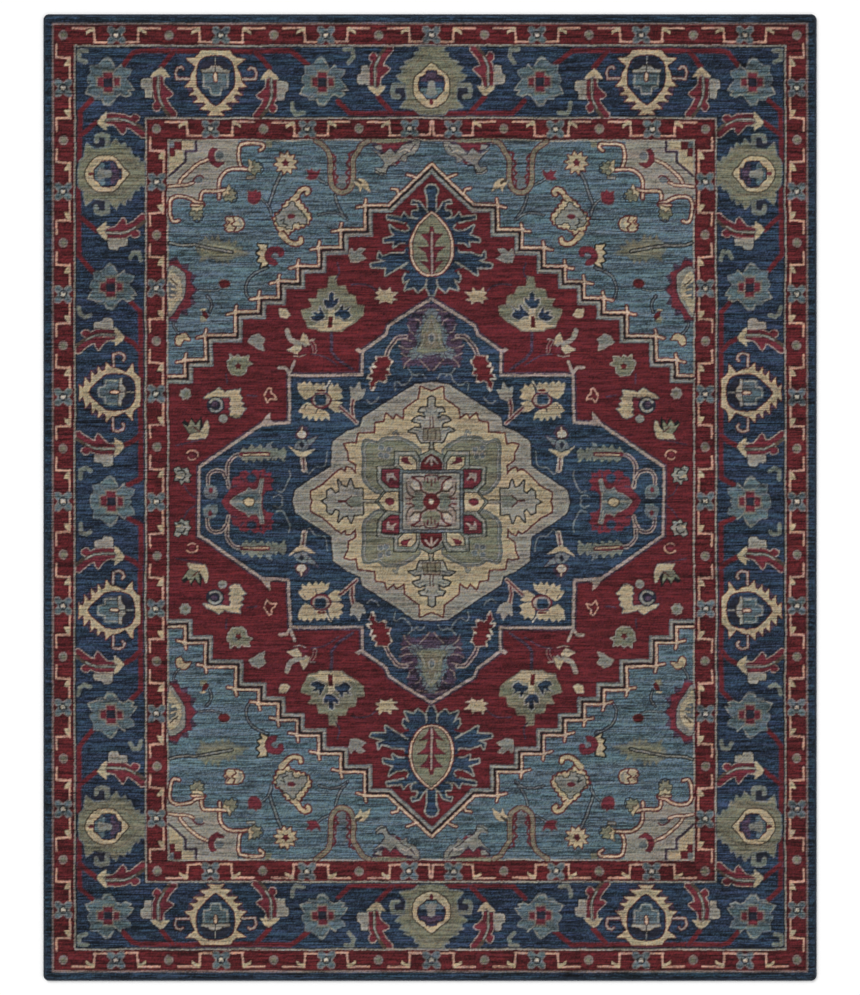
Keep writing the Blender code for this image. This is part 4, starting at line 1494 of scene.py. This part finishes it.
def pile_pieces(materials, slots):
    """One closed block of cut pile for each block of the CAD model, all from one lattice."""
    colour, streak, change = lattice()
    colour = dyed_and_shaded(colour, streak, change)
    paint = np.column_stack((colour.reshape(-1, 3), streak.ravel())).astype(np.float32)
    row, column = np.indices(streak.shape)
    x = (column - HALF_ACROSS) * TUFT
    y = (row - HALF_ALONG) * TUFT
    places = rounded(np.column_stack((x.ravel(), y.ravel(), heights(change).ravel())))
    nodes = [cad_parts[name] for name in sorted(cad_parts) if name.startswith("pile_")]
    cells = owners(nodes)
    made = []
    for number, node in enumerate(nodes):
        mesh = block_mesh(node.name, cells == number, places, paint)
        slot = slots[node.name]
        made.append(place("tufted_" + node.name, mesh, materials[slot], node.name))
    return made


# ---------------------------------------------------------------- the serged edge and the back
# The serging yarn's pitch along the edge, and the rings of points to a turn and points to a ring
WRAP = 0.0032
WRAP_STEPS = 4
ROLL_POINTS = 12
# How square the roll's section is: 1 is an ellipse and 0 a rectangle
ROLL_SHAPE = 0.7
CLOTH_WAVE = 0.00008


def serging(side, material):
    """A roll of yarn wound over the rug's edge, mitred at the corners, in place of a CAD strip."""
    name = f"serging_{side}"
    low, high = (np.array(corner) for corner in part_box(name))
    along = 0 if side in ("front", "back") else 1
    over = 1 - along
    outward = 1 if side in ("back", "right") else -1
    outer = (high if outward > 0 else low)[over]
    half_depth = SELVEDGE * TUFT / 2
    half_tall = high[2] / 2
    half_run = abs(cad_box[1][along])
    steps = int(2 * half_run / WRAP) * WRAP_STEPS + 1
    angle = np.arange(ROLL_POINTS) * 2 * np.pi / ROLL_POINTS
    phase = 2 * np.pi * (np.arange(steps) / WRAP_STEPS)[:, None] + 0.9 * np.cos(angle)
    puff = 1 + 0.09 * np.cos(phase) + 0.02 * ripple(31 + along, (steps, ROLL_POINTS), (5, 4))
    reach, rise = (np.sign(f(angle)) * abs(f(angle)) ** ROLL_SHAPE for f in (np.cos, np.sin))
    from_edge = half_depth - reach * half_depth * puff
    points = np.zeros((steps, ROLL_POINTS, 3))
    points[..., over] = outer - outward * from_edge
    points[..., 2] = np.maximum(half_tall + rise * half_tall * puff, 0.0)
    points[..., along] = np.linspace(-1, 1, steps)[:, None] * (half_run - np.maximum(from_edge, 0))
    ring = np.arange(ROLL_POINTS)
    onward = np.roll(ring, -1)
    base = (np.arange(steps - 1) * ROLL_POINTS)[:, None]
    corners = (base + ring, base + onward, base + onward + ROLL_POINTS, base + ring + ROLL_POINTS)
    quads = np.stack(corners, -1).reshape(-1, 4)
    faces = [quads, ring[::-1][None], (ring + (steps - 1) * ROLL_POINTS)[None]]
    if (along == 0) == (outward > 0):
        faces = [f[:, ::-1] for f in faces]
    mesh = mesh_of(name, rounded(points.reshape(-1, 3)), faces, len(quads))
    return place(f"wound_{name}", mesh, material, name)


def cloth(name, piece_name, material, cell, seed):
    """A flat woven layer with the slight waves that cloth keeps when it is glued down."""
    low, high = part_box(name)
    counts = [int((high[k] - low[k]) / cell) for k in (0, 1)]
    x, y = np.meshgrid(*(np.linspace(low[k], high[k], counts[k] + 1) for k in (0, 1)))
    wave = CLOTH_WAVE * (1 + ripple(seed, x.shape, (2, 2)))
    sheets = []
    for height in (low[2] + wave, high[2] - wave):
        sheets.append(rounded(np.column_stack((x.ravel(), y.ravel(), height.ravel()))))
    columns = counts[0] + 1
    r, c = np.divmod(np.arange(counts[0] * counts[1]), counts[0])
    first = r * columns + c
    top = np.column_stack((first, first + 1, first + columns + 1, first + columns)) + x.size
    under = top[:, ::-1] - x.size
    rim = outline_loops(np.ones((counts[1], counts[0]), bool))[0]
    sides = np.column_stack((rim, np.roll(rim, -1), np.roll(rim, -1) + x.size, rim + x.size))
    mesh = mesh_of(piece_name, np.vstack(sheets), [top, under, sides], 2 * len(top))
    return place(piece_name, mesh, material, name)


# ---------------------------------------------------------------- materials
class Nodes:
    """Builds a material's nodes, with links given as inputs."""

    def __init__(self, name):
        self.material = bpy.data.materials.new(name)
        self.material.use_nodes = True
        self.tree = self.material.node_tree
        self.tree.nodes.clear()

    def add(self, kind, settings=None, **inputs):
        node = self.tree.nodes.new("ShaderNode" + kind)
        for key, value in (settings or {}).items():
            setattr(node, key, value)
        for key, value in inputs.items():
            numbered = key[1:].isdigit()
            socket = node.inputs[int(key[1:]) if numbered else key.replace("_", " ")]
            if isinstance(value, bpy.types.NodeSocket):
                self.tree.links.new(value, socket)
            else:
                socket.default_value = value
        return node

    def maths(self, operation, *values):
        inputs = {f"i{k}": value for k, value in enumerate(values)}
        return self.add("Math", {"operation": operation}, **inputs).outputs[0]

    def stretched(self, scale):
        """Places on the object, in metres, stretched by this scale."""
        place_on = self.add("TexCoord").outputs["Object"]
        return self.add("Mapping", Vector=place_on, Scale=scale).outputs[0]

    def noise(self, scale, detail=2.0, rough=0.5):
        return self.add(
            "TexNoise", Vector=self.stretched(scale), Scale=1.0, Detail=detail, Roughness=rough
        ).outputs["Fac"]

    def tinted(self, colour, factor):
        """The colour made lighter or darker by a factor round 1."""
        return self.add("VectorMath", {"operation": "SCALE"}, i0=colour, Scale=factor).outputs[0]

    def ramp(self, factor, dark, light):
        """A blend from dark to light. Each is a colour and the factor where it starts."""
        node = self.add("ValToRGB", Fac=factor)
        for element, (colour, position) in zip(node.color_ramp.elements, (dark, light)):
            element.position = position
            element.color = (*colour, 1)
        return node.outputs[0]

    def bump(self, height, strength, distance):
        return self.add("Bump", Strength=strength, Distance=distance, Height=height).outputs[0]

    def finish(self, **inputs):
        shader = self.add("BsdfPrincipled", **inputs)
        self.add("OutputMaterial", Surface=shader.outputs[0])
        return self.material


def wool(name):
    """Cut wool pile: the tufted colours with their painted shade, heathered by their fibres and streaked
    partly by dye and partly by painted shade between the rows of tufts, with soft sheen and a fibre bump.
    """
    n = Nodes(name)
    paint = n.add("Attribute", {"attribute_name": "wool"})
    heather = n.noise((260, 340, 60), 2.0, 0.7)
    # Fine streaks along the rows of tufts, as strong as each yarn streaks: partly dye, partly painted shade
    # between the rows
    streaks = n.noise((9, 300, 20), 3.0, 0.6)
    tone = n.maths("MULTIPLY_ADD", heather, 0.5, 0.75)
    swing = n.maths("MULTIPLY_ADD", streaks, 0.9, -0.45)
    swing = n.maths("MULTIPLY_ADD", swing, paint.outputs["Alpha"], 1.0)
    colour = n.tinted(paint.outputs["Color"], n.maths("MULTIPLY", tone, swing))
    fibre = n.noise((900, 900, 300), 3.0, 0.65)
    rough = n.maths("MULTIPLY_ADD", heather, 0.12, 0.84)
    return n.finish(
        Base_Color=colour, Roughness=rough, Normal=n.bump(fibre, 0.55, 0.0012), Sheen_Weight=0.05,
        Sheen_Roughness=0.6, Specular_IOR_Level=0.12,
    )


def yarn_roll(name):
    """The twisted navy yarn of the serged edge."""
    n = Nodes(name)
    tone = n.noise((40, 40, 200), 3.0, 0.6)
    colour = n.ramp(tone, ((0.010, 0.016, 0.026), 0.3), ((0.040, 0.055, 0.078), 0.72))
    fibre = n.noise((500, 500, 900), 3.0, 0.7)
    rough = n.maths("MULTIPLY_ADD", fibre, 0.2, 0.72)
    return n.finish(
        Base_Color=colour, Roughness=rough, Normal=n.bump(fibre, 0.6, 0.0008), Sheen_Weight=0.1,
        Specular_IOR_Level=0.25,
    )


def woven(name, dark, light, pitch):
    """Plain-woven cotton: two sets of threads that cross, with slubs, a little dust, and painted highlight
    and shade on the crossings.
    """
    n = Nodes(name)
    rate = 2 * np.pi / pitch
    parts = n.add("SeparateXYZ", Vector=n.stretched((rate, rate, rate)))
    warp = n.maths("SINE", parts.outputs[0])
    weft = n.maths("SINE", parts.outputs[1])
    crossing = n.maths("MULTIPLY", warp, weft)
    slub = n.noise((30, 900, 30), 3.0, 0.6)
    dust = n.noise((6, 6, 6), 4.0, 0.6)
    height = n.maths("MULTIPLY_ADD", crossing, 0.5, slub)
    tone = n.maths("MULTIPLY", dust, 0.4)
    tone = n.maths("MULTIPLY_ADD", slub, 0.5, tone)
    # Painted highlight on the raised crossings of the threads and painted shade between them
    tone = n.maths("MULTIPLY_ADD", crossing, 0.18, tone)
    colour = n.ramp(tone, (dark, 0.2), (light, 0.75))
    rough = n.maths("MULTIPLY_ADD", slub, 0.15, 0.8)
    return n.finish(
        Base_Color=colour, Roughness=rough, Normal=n.bump(height, 0.7, pitch / 3), Specular_IOR_Level=0.2
    )


def rubbery(name):
    """Set latex: off-white and slightly shiny, with small bubbles."""
    n = Nodes(name)
    cloud = n.noise((25, 25, 25), 4.0, 0.6)
    colour = n.ramp(cloud, ((0.46, 0.42, 0.34), 0), ((0.72, 0.69, 0.60), 1))
    bubbles = n.noise((700, 700, 700), 1.0, 0.5)
    rough = n.maths("MULTIPLY_ADD", cloud, 0.2, 0.45)
    return n.finish(Base_Color=colour, Roughness=rough, Normal=n.bump(bubbles, 0.4, 0.0006))


def plain_floor(name):
    """A matt studio floor, almost white."""
    n = Nodes(name)
    cloud = n.noise((1.3, 1.3, 1.3), 3.0, 0.5)
    tone = n.maths("MULTIPLY_ADD", cloud, 0.02, 0.93)
    return n.finish(Base_Color=n.tinted((1, 1, 1), tone), Roughness=0.9, Specular_IOR_Level=0.0)


# ---------------------------------------------------------------- the scene
SLOTS = {
    "edge_band": "navy_wool",
    "main_border": "navy_wool",
    "outer_guard": "red_wool",
    "inner_guard": "red_wool",
    "red_field": "red_wool",
    "spandrel": "blue_wool",
    "medallion": "ink_blue_wool",
    "core": "taupe_wool",
    "centre_square": "cream_wool",
}


def rug():
    """Every piece of the rug on its CAD node, with its two sheets of cloth."""
    wools = {slot: wool(slot) for slot in sorted(set(SLOTS.values()))}
    slots = {
        node: slot
        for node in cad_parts
        for part, slot in SLOTS.items()
        if node.startswith("pile_" + part)
    }
    blocks = pile_pieces(wools, slots)
    edging = yarn_roll("serging_yarn")
    edges = [serging(side, edging) for side in ("front", "right", "back", "left")]
    cotton = woven("cotton_canvas", (0.30, 0.25, 0.17), (0.62, 0.56, 0.44), 0.0026)
    canvas = cloth("canvas_back", "backing_canvas", cotton, 0.0125, 41)
    scrim = woven("tufting_cloth", (0.36, 0.34, 0.29), (0.66, 0.64, 0.56), 0.0018)
    primary = cloth("tufting_cloth", "primary_cloth", scrim, 0.016, 42)
    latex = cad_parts["latex_coat"]
    latex.data.materials.clear()
    latex.data.materials.append(rubbery("latex"))


def studio():
    """A pale floor just under the rug, a soft sky and wide soft suns."""
    scene = bpy.context.scene
    bpy.ops.mesh.primitive_grid_add(x_subdivisions=8, y_subdivisions=8, size=FLOOR)
    floor = bpy.context.object
    floor.name = "floor"
    floor.location.z = -0.0005
    floor.data.materials.append(plain_floor("studio_floor"))
    world = bpy.data.worlds.new("studio")
    world.use_nodes = True
    sky = world.node_tree.nodes["Background"]
    sky.inputs["Color"].default_value = (1, 1, 1, 1)
    sky.inputs["Strength"].default_value = SKY
    scene.world = world
    for name, stands, power, spread in SUNS:
        sun = bpy.data.lights.new(name, "SUN")
        sun.energy = power
        sun.angle = np.radians(spread)
        lamp = bpy.data.objects.new(name, sun)
        lamp.rotation_euler = Vector(stands).to_track_quat("Z", "Y").to_euler()
        scene.collection.objects.link(lamp)
    scene.view_settings.view_transform = "Standard"


def camera():
    """The camera straight above the rug, looking down."""
    lens = bpy.data.cameras.new("camera")
    lens.lens = 100
    lens.sensor_width = 36
    lens.clip_end = 60
    eye = bpy.data.objects.new("camera", lens)
    eye.location = (0, 0, TOP_Z + SHOWN * lens.lens / lens.sensor_width)
    bpy.context.scene.collection.objects.link(eye)
    bpy.context.scene.camera = eye


rug()
studio()
camera()
